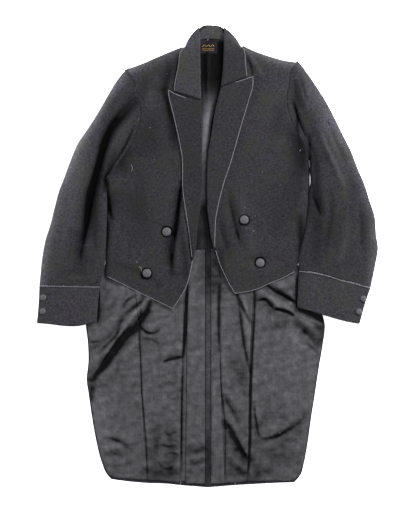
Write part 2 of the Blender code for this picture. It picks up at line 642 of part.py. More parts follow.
def build_tail_linings():
    """The linings of the tails: outer and inner panels, the facings beside the vent and the pleat."""
    for side, sign in (("r", -1), ("l", 1)):
        seam = OUTER_LINING_SEAM[side]
        edge = INNER_LINING_EDGE[side]
        inset = np.array(TAIL_SIDE[side], float) - (TAIL_LINING_INSET * sign, 0)
        inset = inset[inset[:, 1] > HEM[side][0][1] + CORNER_CLEAR]
        hem = np.array(HEM[side], float) + (-TAIL_LINING_INSET * sign, LINING_HEM)
        out, seam_out, edge_out = sign * hem[:, 0], sign * seam[-1][0], sign * edge[-1][0]
        outer_hem = hem[out > seam_out + CORNER_CLEAR]
        inner_hem = hem[(out < seam_out - CORNER_CLEAR) & (out > edge_out + CORNER_CLEAR)]
        outer = outline(inset, [inset[-1], *outer_hem, seam[-1]], seam[::-1], [seam[0], inset[0]])
        tail_panel(f"tail_lining_outer_{side}", SATIN_LINING, outer, LINING)
        inner = outline(seam, [seam[-1], *inner_hem, edge[-1]], edge[::-1], [edge[0], seam[0]])
        lifted = [(edge, PLEAT_REACH)] if side == "r" else []
        tail_panel(f"tail_lining_inner_{side}", SATIN_LINING, inner, LINING, lifted)
    low, high = VENT_BAND
    fold = FACING_FOLD
    facing = quadrilateral(fold, [(low, FACING_HEM), (low, LINING_TOP)])
    tail_panel("tail_facing_r", SATIN_LINING, facing, LINING, [(fold, FACING_REACH)])
    band = [(low, LINING_TOP), (low, VENT_HEM)], [(high, VENT_HEM), (high, LINING_TOP)]
    tail_panel("vent_facing", WOOL_CLOTH, quadrilateral(*band, FLAT_SPACING), WOOL)
    facing = quadrilateral([(high, LINING_TOP), (high, FACING_HEM)], INNER_LINING_EDGE["l"][::-1])
    tail_panel("tail_facing_l", SATIN_LINING, facing, LINING)
    slab("pleat_under_r", SATIN_LINING, quadrilateral(*PLEAT_UNDER, FLAT_SPACING), LINING_BASE, LINING)


# Fronts

def build_forepart(side):
    """One front, from the shoulder and the neck down to its cutaway bottom edge."""
    back = 1 if side == "l" else -1
    roll = np.array(ROLL[side], float) + (ROLL_INSET * back, 0)
    roll[-1] = FRONT_EDGE[side][0]
    roll[-1, 0] += EDGE_INSET * back
    front = np.concatenate([roll[-1:], FRONT_EDGE[side][1:]])
    neckline = np.concatenate([NECKLINE[side][:-1], roll[:1]])
    shoulder = SHOULDER[side][::-1] if side == "r" else SHOULDER[side]
    ring = outline(shoulder, neckline, roll, front, BOTTOM[side][::-1], SIDE[side][::-1], ARMHOLE[side][::-1],
                   spacing=FRONT_OUTLINE, fine=6)
    sheet(f"forepart_{side}", WOOL_CLOTH, drawn_in(ring, SEAM), front_height, FRONT_WALL, FRONT_SPACING,
          rows=FRONT_ROWS, floor=resting_height)


def build_lapel(side):
    """A lapel turned back on its front along the roll line, its peak lifting a little."""
    shares = np.linspace(0, 1, LAPEL_STATIONS)
    roll = curve(ROLL[side], shares=shares)
    edge = curve(LAPEL_EDGE[side], shares=shares)
    width = np.linalg.norm(edge - roll, axis=1)
    turn = np.minimum(LAPEL_TURN / width, 0.4)[:, None]
    across = turn + (1 - turn) * np.array(LAPEL_ACROSS)[None]
    across = np.concatenate([np.zeros_like(turn), across], axis=1)
    plan = roll[:, None] * (1 - across[..., None]) + edge[:, None] * across[..., None]
    bend = curve(GORGE[side], shares=across[0]) - plan[0]
    plan += bend[None] * np.clip(1 - shares / GORGE_SHARE, 0, 1)[:, None, None]
    height = front_height(plan.reshape(-1, 2)).reshape(plan.shape[:2]) + LAPEL_CLEAR + FRONT_WALL
    height += LAPEL_SPRING * across
    height += PEAK_LIFT[side] * across**2 * np.exp(-((shares[:, None] / PEAK_SHARE) ** 2))
    height[:, 0] -= ROLL_TURN
    grid = np.dstack([plan, height])[width > LAPEL_LEAST_WIDTH]
    if side == "r":
        grid = grid[:, ::-1]
    strip(f"lapel_{side}", WOOL_CLOTH, grid, FRONT_WALL)


def build_collar(side):
    """Half the collar's fall: over the front from the gorge, folded under at the shoulder, and flat behind."""
    across = COLLAR_ACROSS
    rows = []
    for roll_x, roll_y, leaf_x, leaf_y, roll_z, leaf_z in COLLAR_FRONT[side]:
        plan = np.outer(1 - across, (roll_x, roll_y)) + np.outer(across, (leaf_x, leaf_y))
        height = roll_z * (1 - across) + leaf_z * across
        height = np.maximum(height, front_height(plan) + COLLAR_CLEAR + COLLAR_WALL)
        height[0] -= COLLAR_TURN
        rows.append(np.column_stack([plan, height]))
    roll_x, roll_y, leaf_x, leaf_y, roll_z, leaf_z = COLLAR_FOLD[side]
    fold = np.outer(1 - across, (roll_x, roll_y)) + np.outer(across, (leaf_x, leaf_y))
    along = np.array([leaf_x - roll_x, leaf_y - roll_y]) / math.hypot(leaf_x - roll_x, leaf_y - roll_y)
    outward = np.array([along[1], -along[0]]) * (1 if side == "r" else -1)
    top = roll_z * (1 - across) + leaf_z * across
    for angle in np.radians(COLLAR_FOLD_ANGLES):
        plan = fold + outward * COLLAR_FOLD_BULGE * math.cos(angle)
        rows.append(np.column_stack([plan, top / 2 * (1 + math.sin(angle))]))
    for roll_x, roll_y, leaf_x, leaf_y, _, _ in COLLAR_BACK[side]:
        plan = np.outer(1 - across, (roll_x, roll_y)) + np.outer(across, (leaf_x, leaf_y))
        height = np.zeros(len(across))
        height[0] = COLLAR_BACK_TURN
        rows.append(np.column_stack([plan, height]))
    grid = np.array(rows)
    if side == "l":
        grid = grid[:, ::-1]
    strip(f"collar_{side}", WOOL_CLOTH, grid, COLLAR_WALL)


def build_collar_stand():
    """The stand: the inside of the collar round the back of the neck, and its ends under the falls."""
    grid = []
    for roll_x, roll_y, seam_x, seam_y, roll_z, seam_z in COLLAR_STAND:
        ends = (roll_x, roll_y, roll_z), (seam_x, seam_y, seam_z)
        grid.append(np.outer(1 - STAND_ACROSS, ends[0]) + np.outer(STAND_ACROSS, ends[1]))
    strip("collar_stand", WOOL_CLOTH, np.array(grid)[:, ::-1], COLLAR_WALL)


# Sleeves

def patch(start, end, first, last, rows, columns):
    """A grid of plan points between four edges that meet at their ends."""
    down, across = rows[:, None, None], columns[None, :, None]
    start, end = curve(start, shares=columns)[None], curve(end, shares=columns)[None]
    first, last = curve(first, shares=rows)[:, None], curve(last, shares=rows)[:, None]
    corners = (1 - down) * ((1 - across) * start[:, :1] + across * start[:, -1:])
    corners = corners + down * ((1 - across) * end[:, :1] + across * end[:, -1:])
    return (1 - down) * start + down * end + (1 - across) * first + across * last - corners


def rounded(share, roundness):
    """The profile of a flattened tube across its width, 0 at both sides and 1 in the middle."""
    return (1 - abs(2 * share - 1) ** roundness) ** (1 / roundness)


def sleeve_columns():
    """Shares across the tube, closer together at its sides."""
    return (1 - np.cos(np.pi * np.linspace(0, 1, SLEEVE_COLUMNS))) / 2


def tube(plan, columns, centre, rise, armhole=None):
    """Outer faces, above and below, of a flattened tube over a grid of plan points, and how free of the
    armhole each point is: 0 at the armhole, where the upper face has the height of the front, to 1."""
    shape = plan.shape[:2]
    flat = plan.reshape(-1, 2)
    ground = carried_height(flat).reshape(shape)
    middle = np.maximum(centre[:, None], ground + SLEEVE_LEAST)
    top = rounded(columns, TOP_ROUNDNESS)[None]
    under = rounded(columns, UNDER_ROUNDNESS)[None]
    folds = relief(flat, SLEEVE_FOLDS).reshape(shape) * np.clip(top * 2 - 0.7, 0, 1)
    upper = middle + rise[:, None] * top + folds
    lower = middle - (middle - ground) * under
    free = np.ones(shape)
    if armhole is not None:
        path = curve(armhole, 6.0)
        far, along = nearest(flat, path)
        free = eased(abs(far) / SLEEVE_HEAD).reshape(shape)
        seam = np.maximum(front_height(resampled(path, along)).reshape(shape), middle)
        upper = upper * free + seam * (1 - free)
        lower = lower * free
    return upper, lower, free


def build_sleeve(side):
    """A two-piece sleeve, from the armhole to the cuff line: the top sleeve and the under sleeve beneath it."""
    rows = np.linspace(0, 1, SLEEVE_ROWS)
    columns = sleeve_columns()
    armhole = shifted(ARMHOLE[side], -SLEEVE_CLEAR if side == "r" else SLEEVE_CLEAR)
    outer = np.concatenate([armhole[:1], SLEEVE_OUTER[side][1:]])
    inner = np.concatenate([armhole[UNDERARM:-1], SLEEVE_INNER[side]])
    plan = patch(armhole[: UNDERARM + 1], CUFF_LINE[side], outer, inner, rows, columns)
    at, centre, rise = np.array(SLEEVE_SECTIONS).T
    centre, rise = np.interp(rows, at, centre), np.interp(rows, at, rise)
    upper, lower, free = tube(plan, columns, centre, rise, ARMHOLE[side])
    level = np.zeros(free.shape, bool)
    level[:, [0, -1]] = free[:, [0, -1]] > LEVEL_FREE
    for name, height, lift in ((f"topsleeve_{side}", upper, GAP / 2), (f"undersleeve_{side}", lower, -GAP / 2)):
        height = np.where(level, height + lift, height)
        grid, flat_side = np.dstack([plan, height]), level
        if (side == "r") == (lift < 0):
            grid, flat_side = grid[:, ::-1], level[:, ::-1]
        strip(name, WOOL_CLOTH, grid, SLEEVE_WALL, level=flat_side)


def build_cuff(side):
    """A cuff: a band right round the end of the sleeve, standing a little proud of it."""
    rows = np.linspace(0, 1, CUFF_ROWS)
    columns = sleeve_columns()
    down = np.array([0.0, -GAP])
    plan = patch(np.array(CUFF_LINE[side], float) + down, MOUTH[side], np.array(CUFF_OUTER[side], float) + down,
                 np.array(CUFF_INNER[side], float) + down, rows, columns)
    _, centre, rise = SLEEVE_SECTIONS[-1]
    upper, lower, _ = tube(plan, columns, np.full(CUFF_ROWS, centre), rise + CUFF_STEP - 1.0 * rows)
    grid = np.concatenate([np.dstack([plan, upper]), np.dstack([plan, lower])[:, -2:0:-1]], axis=1)
    if side == "l":
        grid = grid[:, ::-1]
    strip(f"cuff_{side}", WOOL_CLOTH, grid, CUFF_WALL, closed=True)


# Buttons and label

def top_under(carrier, x, y, radius):
    """The highest point of a piece, in mm, under a disc."""
    high = 0.0
    for angle in np.linspace(0, 2 * math.pi, BUTTON_SIDES + 1)[:-1]:
        for reach in (0.0, 0.5 * radius, radius):
            start = Vector((x + reach * math.cos(angle), y + reach * math.sin(angle), 1 / MM)) * MM
            hit, place, _, _ = carrier.ray_cast(start, Vector((0, 0, -1)))
            if hit:
                high = max(high, place.z / MM)
    return high


def build_button(name, carrier, x, y, radius):
    """A low domed button covered in cloth, lying on the piece that carries it."""
    base = top_under(bpy.data.objects[carrier], x, y, radius) + GAP
    angles = 2 * math.pi * np.arange(BUTTON_SIDES) / BUTTON_SIDES
    points = [(x, y, base)]
    for out, up in BUTTON_PROFILE:
        reach, height = out * radius, base + up * radius
        points += [(x + reach * math.cos(angle), y + reach * math.sin(angle), height) for angle in angles]
    points.append((x, y, base + BUTTON_DOME * radius))
    rings = [1 + i * BUTTON_SIDES for i in range(len(BUTTON_PROFILE))]
    faces = []
    for k in range(BUTTON_SIDES):
        following = (k + 1) % BUTTON_SIDES
        faces.append((0, rings[0] + following, rings[0] + k))
        for low, high in zip(rings, rings[1:]):
            faces.append((low + k, low + following, high + following, high + k))
        faces.append((rings[-1] + k, rings[-1] + following, len(points) - 1))
    mesh = bpy.data.meshes.new(name)
    mesh.from_pydata((np.array(points) * MM).tolist(), [], faces)
    mesh.shade_smooth()
    button = bpy.data.objects.new(name, mesh)
    bpy.context.scene.collection.objects.link(button)
    finish(button, BUTTON_CLOTH)


def build_label():
    """A plain woven label sewn inside the neck."""
    x, y, width, height = LABEL
    left, right, low, high = x - width / 2, x + width / 2, y - height / 2, y + height / 2
    ring = np.array([(left, low), (right, low), (right, high), (left, high)])
    slab("neck_label", LABEL_SATIN, ring, LINING_BASE + LINING + GAP, LINING)


def main():
    """Clear the scene and build the coat, from the table up."""
    for obj in list(bpy.data.objects):
        bpy.data.objects.remove(obj, do_unlink=True)
    for side in "rl":
        build_back(side)
    build_back_lining()
    build_tail_linings()
    build_label()
    build_collar_stand()
    for side in "rl":
        build_forepart(side)
        build_lapel(side)
        build_collar(side)
        build_sleeve(side)
        build_cuff(side)
    bpy.context.view_layer.update()
    for side in "rl":
        for row, (x, y) in enumerate(FRONT_BUTTONS[side], 1):
            build_button(f"front_button_{side}{row}", f"forepart_{side}", x, y, FRONT_BUTTON_RADIUS)
        for row, (x, y) in enumerate(CUFF_BUTTONS[side], 1):
            build_button(f"cuff_button_{side}{row}", f"cuff_{side}", x, y, CUFF_BUTTON_RADIUS)


main()
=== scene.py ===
"""Dresses a uniform tailcoat that lies on its back: fine cloth with its creases, edge cords, thread-wound
buttons, a plain neck label, studio light and camera.

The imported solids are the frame. The table is z = 0, +X runs to the viewer's right and +Y to the collar; the
wearer's right lies on the viewer's left. Sizes are in millimetres until a mesh is made. Each piece of cloth
follows the form of the solid that it replaces on a finer net, with the creases that the solid leaves out.
"""

from __future__ import annotations

import logging
import math
from collections.abc import Callable, Sequence
from dataclasses import dataclass, field
from enum import Enum

import bpy
import numpy as np
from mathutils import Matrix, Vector
from mathutils.geometry import delaunay_2d_cdt

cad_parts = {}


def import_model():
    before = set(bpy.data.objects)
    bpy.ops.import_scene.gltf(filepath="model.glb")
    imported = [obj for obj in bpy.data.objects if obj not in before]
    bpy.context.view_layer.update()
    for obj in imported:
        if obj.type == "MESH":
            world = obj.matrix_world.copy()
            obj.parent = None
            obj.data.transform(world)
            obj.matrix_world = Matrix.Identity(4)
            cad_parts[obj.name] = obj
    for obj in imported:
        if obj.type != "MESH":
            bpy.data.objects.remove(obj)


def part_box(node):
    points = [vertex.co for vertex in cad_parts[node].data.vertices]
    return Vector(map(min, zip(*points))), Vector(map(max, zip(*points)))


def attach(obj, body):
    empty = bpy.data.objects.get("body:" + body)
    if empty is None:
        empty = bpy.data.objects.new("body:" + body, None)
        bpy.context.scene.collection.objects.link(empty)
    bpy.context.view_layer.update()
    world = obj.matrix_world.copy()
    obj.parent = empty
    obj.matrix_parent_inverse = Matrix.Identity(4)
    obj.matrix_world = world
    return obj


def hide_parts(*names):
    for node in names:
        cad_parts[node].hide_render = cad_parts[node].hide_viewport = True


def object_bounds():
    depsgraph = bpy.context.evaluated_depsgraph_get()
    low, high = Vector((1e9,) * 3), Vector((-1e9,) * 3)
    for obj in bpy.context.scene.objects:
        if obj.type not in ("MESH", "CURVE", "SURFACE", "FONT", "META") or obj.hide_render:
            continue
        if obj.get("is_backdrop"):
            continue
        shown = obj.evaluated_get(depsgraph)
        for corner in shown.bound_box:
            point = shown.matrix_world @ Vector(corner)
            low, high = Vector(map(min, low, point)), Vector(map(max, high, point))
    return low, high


log = logging.getLogger("tailcoat")

MM = 0.001
Array = np.ndarray
Object = bpy.types.Object
Material = bpy.types.Material
Tree = bpy.types.NodeTree
Node = bpy.types.Node
Height = Callable[[Array], Array]


class Side(Enum):
    """The wearer's side that a piece belongs to."""

    RIGHT = "r"
    LEFT = "l"

    @property
    def sign(self) -> int:
        """-1 where the side lies at -X, 1 where it lies at +X."""
        return -1 if self is Side.RIGHT else 1


class Slot(Enum):
    """The record's material slots."""

    WOOL = "wool_shell"
    SATIN = "satin_lining"
    BODY = "body_lining"
    BUTTON = "button_cloth"
    LABEL = "label_satin"


def both(right: Sequence[float], left: Sequence[float]) -> dict[Side, Array]:
    """Keep a line of each side as points, read from x and y in turn."""
    return {side: np.array(line, float).reshape(-1, 2) for side, line in zip(Side, (right, left))}


# The coat's lines: x, y in mm along each, the same as in the solids

SHOULDER = both(
    [-56, 487, -63, 485, -110, 466, -154, 447, -187, 435],
    [214, 450, 176, 456, 142, 466, 118, 474, 93, 485, 84, 490],
)
ARMHOLE = both(
    [-187, 435, -171, 405, -159, 363, -154, 322, -168, 280, -194, 235, -222, 198, -237, 172],
    [214, 450, 197, 435, 190, 398, 185, 364, 190, 331, 206, 294, 226, 257, 237, 226],
)
SIDE = both(
    [-237, 172, -234, 116, -235, 65, -237, 14, -238, -45],
    [237, 226, 239, 177, 238, 130, 234, 91, 228, 57, 219, 20, 212, -16, 209, -33],
)
BOTTOM = both(
    [-238, -45, -196, -65, -171, -78, -130, -98, -80, -122],
    [209, -33, 175, -51, 146, -63, 112, -78, 65, -87],
)
FRONT_EDGE = both(
    [-31, -8, -35, -14, -41, -44, -48, -68, -61, -93, -80, -122],
    [16, 16, 29, -18, 41, -44, 53, -68, 65, -87],
)
ROLL = both(
    [-13, 362, -12, 247, -12, 165, -15, 124, -19, 92, -23, 59, -26, 21, -31, -8],
    [29, 390, 15, 321, 8, 276, 2, 242, -1, 200, -1, 149, 0, 107, 4, 75, 9, 40, 16, 16],
)
NECKLINE = both(
    [-56, 487, -45, 460, -39, 430, -31, 395, -16, 362],
    [84, 490, 66, 464, 60, 435, 50, 410, 32, 390],
)
LAPEL_EDGE = both(
    [-90, 384, -88, 366, -83, 346, -76, 318, -64, 263, -58, 229, -57, 190, -57, 168, -51, 112, -44, 68, -39,
     30, -35, -5],
    [106, 416, 105, 392, 96, 361, 76, 294, 63, 247, 54, 216, 39, 172, 31, 142, 25, 116, 20, 89, 18, 62, 17,
     22],
)
GORGE = both([-13, 361, -43, 365, -77, 377, -90, 384], [31, 391, 60, 401, 95, 412, 106, 416])
SLEEVE_OUTER = both(
    [-187, 435, -208, 410, -231, 373, -252, 336, -276, 298, -301, 261, -317, 224, -331, 186, -345, 149,
     -355, 112, -364, 75, -376, 37, -383, 0, -387, -37, -390, -68],
    [214, 450, 230, 429, 256, 391, 279, 354, 298, 317, 316, 280, 335, 242, 349, 205, 365, 168, 377, 130,
     389, 93, 393, 47, 397, 19, 391, -19, 380, -73],
)
SLEEVE_INNER = both(
    [-236.4, 171.5, -234.6, 160, -233.4, 142, -233, 116, -234.2, 65, -236.2, 14, -239, -30, -250, -70],
    [237, 225.5, 237.8, 210, 238, 194, 239.9, 182, 239.8, 170, 237.6, 156, 237, 130, 233.2, 91, 227.2, 57,
     218.2, 20, 211.6, -16, 213, -33],
)
CUFF_LINE = both(
    [-390, -68, -346, -68, -306, -69, -250, -70],
    [380, -73, 345, -63, 315, -56, 285, -46, 255, -39, 213, -33],
)
CUFF_OUTER = both([-390, -68, -392, -112, -396, -156], [380, -73, 368, -108, 354, -158])
CUFF_INNER = both([-250, -70, -253, -100, -257, -150], [213, -33, 211, -76, 209, -119])
MOUTH = both(
    [-396, -156, -366, -158, -333, -162, -315, -163, -286, -160, -257, -150],
    [354, -158, 319, -151, 270, -137, 241, -128, 209, -119],
)
TAIL_SIDE = both(
    [-234, -18, -257, -30, -273, -62, -282, -103, -283, -161, -278, -205, -277, -247, -281, -289, -277,
     -317, -269, -373, -259, -429, -246, -480, -234, -508, -223, -520],
    [209, -20, 232, -33, 246, -79, 265, -126, 274, -158, 269, -210, 261, -256, 250, -330, 242, -380, 234,
     -438, 226, -480, 217, -511, 203, -527],
)
HEM = both(
    [-223, -520, -185, -525, -138, -529, -87, -531, -62, -534],
    [203, -527, 153, -529, 96, -532, 65, -534],
)
TAIL_HEM_CENTRE = both([-62, -534, 1.5, -539], [65, -534, 1.5, -539])
BACK_NECK = both([1.5, 481, -44, 481, -58, 482], [1.5, 481, 60, 481, 82, 484])
SIDE_BACK_SEAM = both([-163, 295, -118, 215, -80, 120, -58, 4], [198, 308, 132, 215, 88, 120, 61, 4])
WAIST_SEAM = both([-58, 4, -130, -8, -234, -18], [61, 4, 130, -8, 209, -20])
SKIRT_SEAM = both([-58, 4, -58, -250, -62, -534], [61, 4, 62, -250, 65, -534])
LINING_SEAM = both(
    [-175, -2, -171, -44, -164, -121, -157, -172, -154, -277, -150, -382, -138, -521],
    [112, 16, 109, -56, 107, -103, 102, -172, 98, -277, 96, -405, 93, -525],
)
LINING_EDGE = both(
    [-55, 27, -57, -110, -57, -219, -60, -336, -66, -528],
    [31, 27, 30, -149, 31, -289, 36, -405, 41, -529],
)

# How each piece of cloth was cut: width and length in mm, area in cm2, and the nodes it lies on


@dataclass(frozen=True)
class Cut:
    """A piece of cloth before it was sewn: a rectangle, or a shape of the given area inside one."""

    width: float
    length: float
    area: float
    rests_on: tuple[str, ...]


CUTS: dict[str, Cut] = {
    "back_r": Cut(205, 1025, 930, ("back_lining",)),
    "back_l": Cut(205, 1025, 990, ("back_lining",)),
    "side_body_r": Cut(180, 320, 375, ("back_lining",)),
    "side_body_l": Cut(180, 320, 375, ("back_lining",)),
    "skirt_r": Cut(228, 540, 1095, ("tail_lining_outer_r",)),
    "skirt_l": Cut(216, 540, 975, ("tail_lining_outer_l",)),
    "back_lining": Cut(458, 508, 1840, ("back_r", "back_l")),
    "tail_lining_outer_r": Cut(145, 525, 585, ("skirt_r",)),
    "tail_lining_outer_l": Cut(182, 545, 775, ("skirt_l",)),
    "tail_lining_inner_r": Cut(122, 558, 535, ("skirt_r",)),
    "tail_lining_inner_l": Cut(84, 558, 395, ("skirt_l",)),
    "pleat_under_r": Cut(29, 506, 113, ("skirt_r",)),
    "tail_facing_r": Cut(46, 560, 245, ("back_r",)),
    "tail_facing_l": Cut(34, 560, 148, ("back_l",)),
    "vent_facing": Cut(14, 564, 78, ("back_r", "back_l")),
    "neck_label": Cut(42, 28, 11.7, ("back_lining",)),
    "armhole_tape_r": Cut(12.2, 300, 35.5, ("back_lining",)),
    "armhole_tape_l": Cut(12.2, 250, 30, ("back_lining",)),
    "collar_stand": Cut(30, 250, 48, ("collar_r", "collar_l")),
    "collar_r": Cut(64, 250, 105, ("forepart_r",)),
    "collar_l": Cut(64, 230, 95, ("forepart_l",)),
    "forepart_r": Cut(245, 612, 1030, ("back_lining",)),
    "forepart_l": Cut(245, 612, 1090, ("back_lining",)),
    "lapel_r": Cut(80, 385, 168, ("forepart_r",)),
    "lapel_l": Cut(92, 412, 198, ("forepart_l",)),
    "topsleeve_r": Cut(160, 560, 630, ("undersleeve_r",)),
    "topsleeve_l": Cut(165, 560, 670, ("undersleeve_l",)),
    "undersleeve_r": Cut(155, 560, 570, ("topsleeve_r",)),
    "undersleeve_l": Cut(160, 560, 615, ("topsleeve_l",)),
    "cuff_r": Cut(300, 98, 290, ("undersleeve_r",)),
    "cuff_l": Cut(330, 104, 320, ("undersleeve_l",)),
}


# Creases


@dataclass(frozen=True)
class Fold:
    """A ridge of the cloth, or a trough where its height is below 0, with a width each side of its path."""

    path: Array
    height: float
    left: float
    right: float


def folds(*rows: Sequence[float]) -> list[Fold]:
    """Read folds from rows of numbers, in mm.

    Args:
        rows: each fold's height, its widths left and right of its path, then x and y of the path's points.

    Returns:
        The folds.
    """
    return [Fold(np.reshape(row[3:], (-1, 2)), *row[:3]) for row in rows]


# The fronts' folds in the solids, and under them the narrow creases that only show here
FRONT_FOLDS = folds(
    (3.6, 18, 22, -50, 165, -57, 119, -64, 72, -70, 20, -74, -40),
    (-4, 14, 12, -62, 160, -76, 72, -90, -30),
    (-2.6, 12, 14, 54, 140, 70, 65, 82, 5),
    (1.8, 16, 20, 66, 150, 88, 60, 100, -5),
    (-1.6, 10, 12, 28, 100, 40, 45, 52, -20),
    (2, 26, 30, -170, 390, -120, 340, -95, 270),
    (2, 30, 26, 190, 420, 150, 330, 150, 240),
    (-1.8, 26, 26, -215, 150, -160, 90, -150, 20),
    (-1.6, 26, 26, 215, 190, 165, 110, 160, 30),
    (-6, 4, 6, -60, 175, -67, 119, -73, 79, -79, 26, -83, -28, -82, -51),
    (-3, 4, 4, -45, 79, -41, 37, -36, -14),
    (-1.5, 5, 4, 48, 156, 59, 96, 70, 51, 79, 19),
    (-1.4, 4.5, 4, 26, 70, 34, 47, 41, 30, 48, 0),
    (-4, 5, 7, -234, 149, -232, 121, -227, 98, -220, 79),
    (-2, 4, 7, -238, 119, -236, 49, -241, -14),
    (-3, 9, 11, -138, 410, -150, 382, -161, 336),
    (-1.6, 12, 16, -87, 438, -110, 363, -122, 294),
    (2.4, 5, 7, 93, 473, 107, 452, 128, 415),
    (-1.8, 3.5, 4.5, 91, 461, 100, 438, 105, 405),
    (-1.4, 12, 14, 179, 373, 160, 317, 146, 247),
    (-1.2, 10, 14, 221, 224, 207, 154, 197, 72),
    (-1.2, 7, 9, -227, -14, -168, -37, -122, -63),
    (-1.3, 14, 18, -185, 247, -157, 154, -161, 72),
    (-1, 8, 8, 83, -14, 128, -5, 181, -14),
)
SLEEVE_FOLDS = folds(
    (-8, 15, 20, -160, 372, -187, 329, -220, 291, -248, 212, -269, 130, -287, 26),
    (3, 14, 16, -166, 345, -206, 285, -232, 220, -250, 140),
    (3, 30, 34, -262, 320, -300, 205, -318, 90, -322, -40),
    (-4, 16, 18, -304, 60, -300, 10, -296, -50),
    (-3.5, 9, 10, 236, 262, 246, 224, 253, 130, 268, 90),
    (-3, 12, 12, 200, 410, 206, 370, 214, 335),
    (2.5, 14, 14, 222, 420, 224, 372, 232, 330),
    (-1.6, 16, 20, 308, 96, 296, 60, 281, 14),
    (-1.2, 16, 16, 350, 96, 358, 50, 358, 2),
    (2, 26, 30, 262, 330, 300, 220, 322, 110),
    (-7.5, 5, 8, -166, 361, -190, 329, -223, 291, -241, 252, -253, 212, -263, 175, -272, 135, -279, 91,
     -287, 42, -296, -14),
    (2, 6, 6, -159, 350, -182, 312, -210, 277, -229, 238, -242, 196),
    (-4.5, 4, 4, -171, 298, -194, 252, -222, 205, -236, 177, -238, 142),
    (1.6, 10, 12, -278, 247, -306, 154, -329, 49, -343, -21),
    (-1.4, 8, 10, -315, 154, -336, 61, -350, -14),
    (1.8, 8, 8, -269, 37, -262, -14, -264, -65),
    (-1.6, 10, 8, -203, 382, -231, 345, -250, 298),
    (-5.5, 3.5, 5, 237, 284, 238, 247, 239, 196, 242, 154),
    (-2.4, 4, 4, 241, 154, 248, 130, 256, 112, 263, 91),
    (-3, 4, 4, 195, 363, 209, 326, 225, 284, 235, 256),
    (2.4, 6, 8, 253, 308, 270, 259, 295, 205, 316, 154),
    (-1.8, 6, 6, 277, 317, 295, 266, 321, 214),
    (-2.2, 7, 8, 281, 154, 286, 103, 277, 37, 267, -14),
    (-1.3, 6, 6, 351, 119, 356, 72, 356, 9),
    (1.6, 8, 8, 321, 79, 314, 26, 300, -28),
    (-1.6, 4, 5, 214, 419, 221, 391, 230, 354),
)
TAIL_FOLDS = folds(
    (6.5, 15, 11, -118, -78, -150, -118, -180, -152, -205, -186, -240, -232, -282, -262),
    (5, 13, 13, -150, -75, -180, -108, -206, -140, -236, -180, -276, -215),
    (3.5, 14, 14, -180, -70, -205, -92, -230, -120, -262, -150),
    (3, 16, 16, -160, -195, -200, -240, -245, -285, -282, -310),
    (1.8, 8, 12, -152, -160, -132, -168, -112, -160),
    (1.8, 8, 12, -112, -228, -85, -222, -62, -214),
    (2.5, 10, 12, -244, -424, -215, -418, -176, -434),
    (2.2, 9, 10, -240, -452, -215, -448, -190, -456),
    (1.8, 14, 12, -96, -330, -88, -400, -92, -490),
    (5, 12, 12, 112, -98, 138, -94, 160, -116, 201, -130),
    (5.5, 12, 10, 140, -58, 171, -78, 207, -98, 244, -120, 270, -142),
    (3, 14, 12, 200, -150, 236, -168, 268, -190),
    (3.2, 12, 10, 60, -92, 76, -126, 84, -190, 92, -270),
    (3.2, 10, 12, 46, -372, 66, -402, 78, -440, 92, -470),
    (2.2, 9, 12, 104, -330, 116, -392, 124, -420, 170, -408, 214, -366),
    (1.6, 26, 30, 180, -240, 190, -300, 176, -380),
)
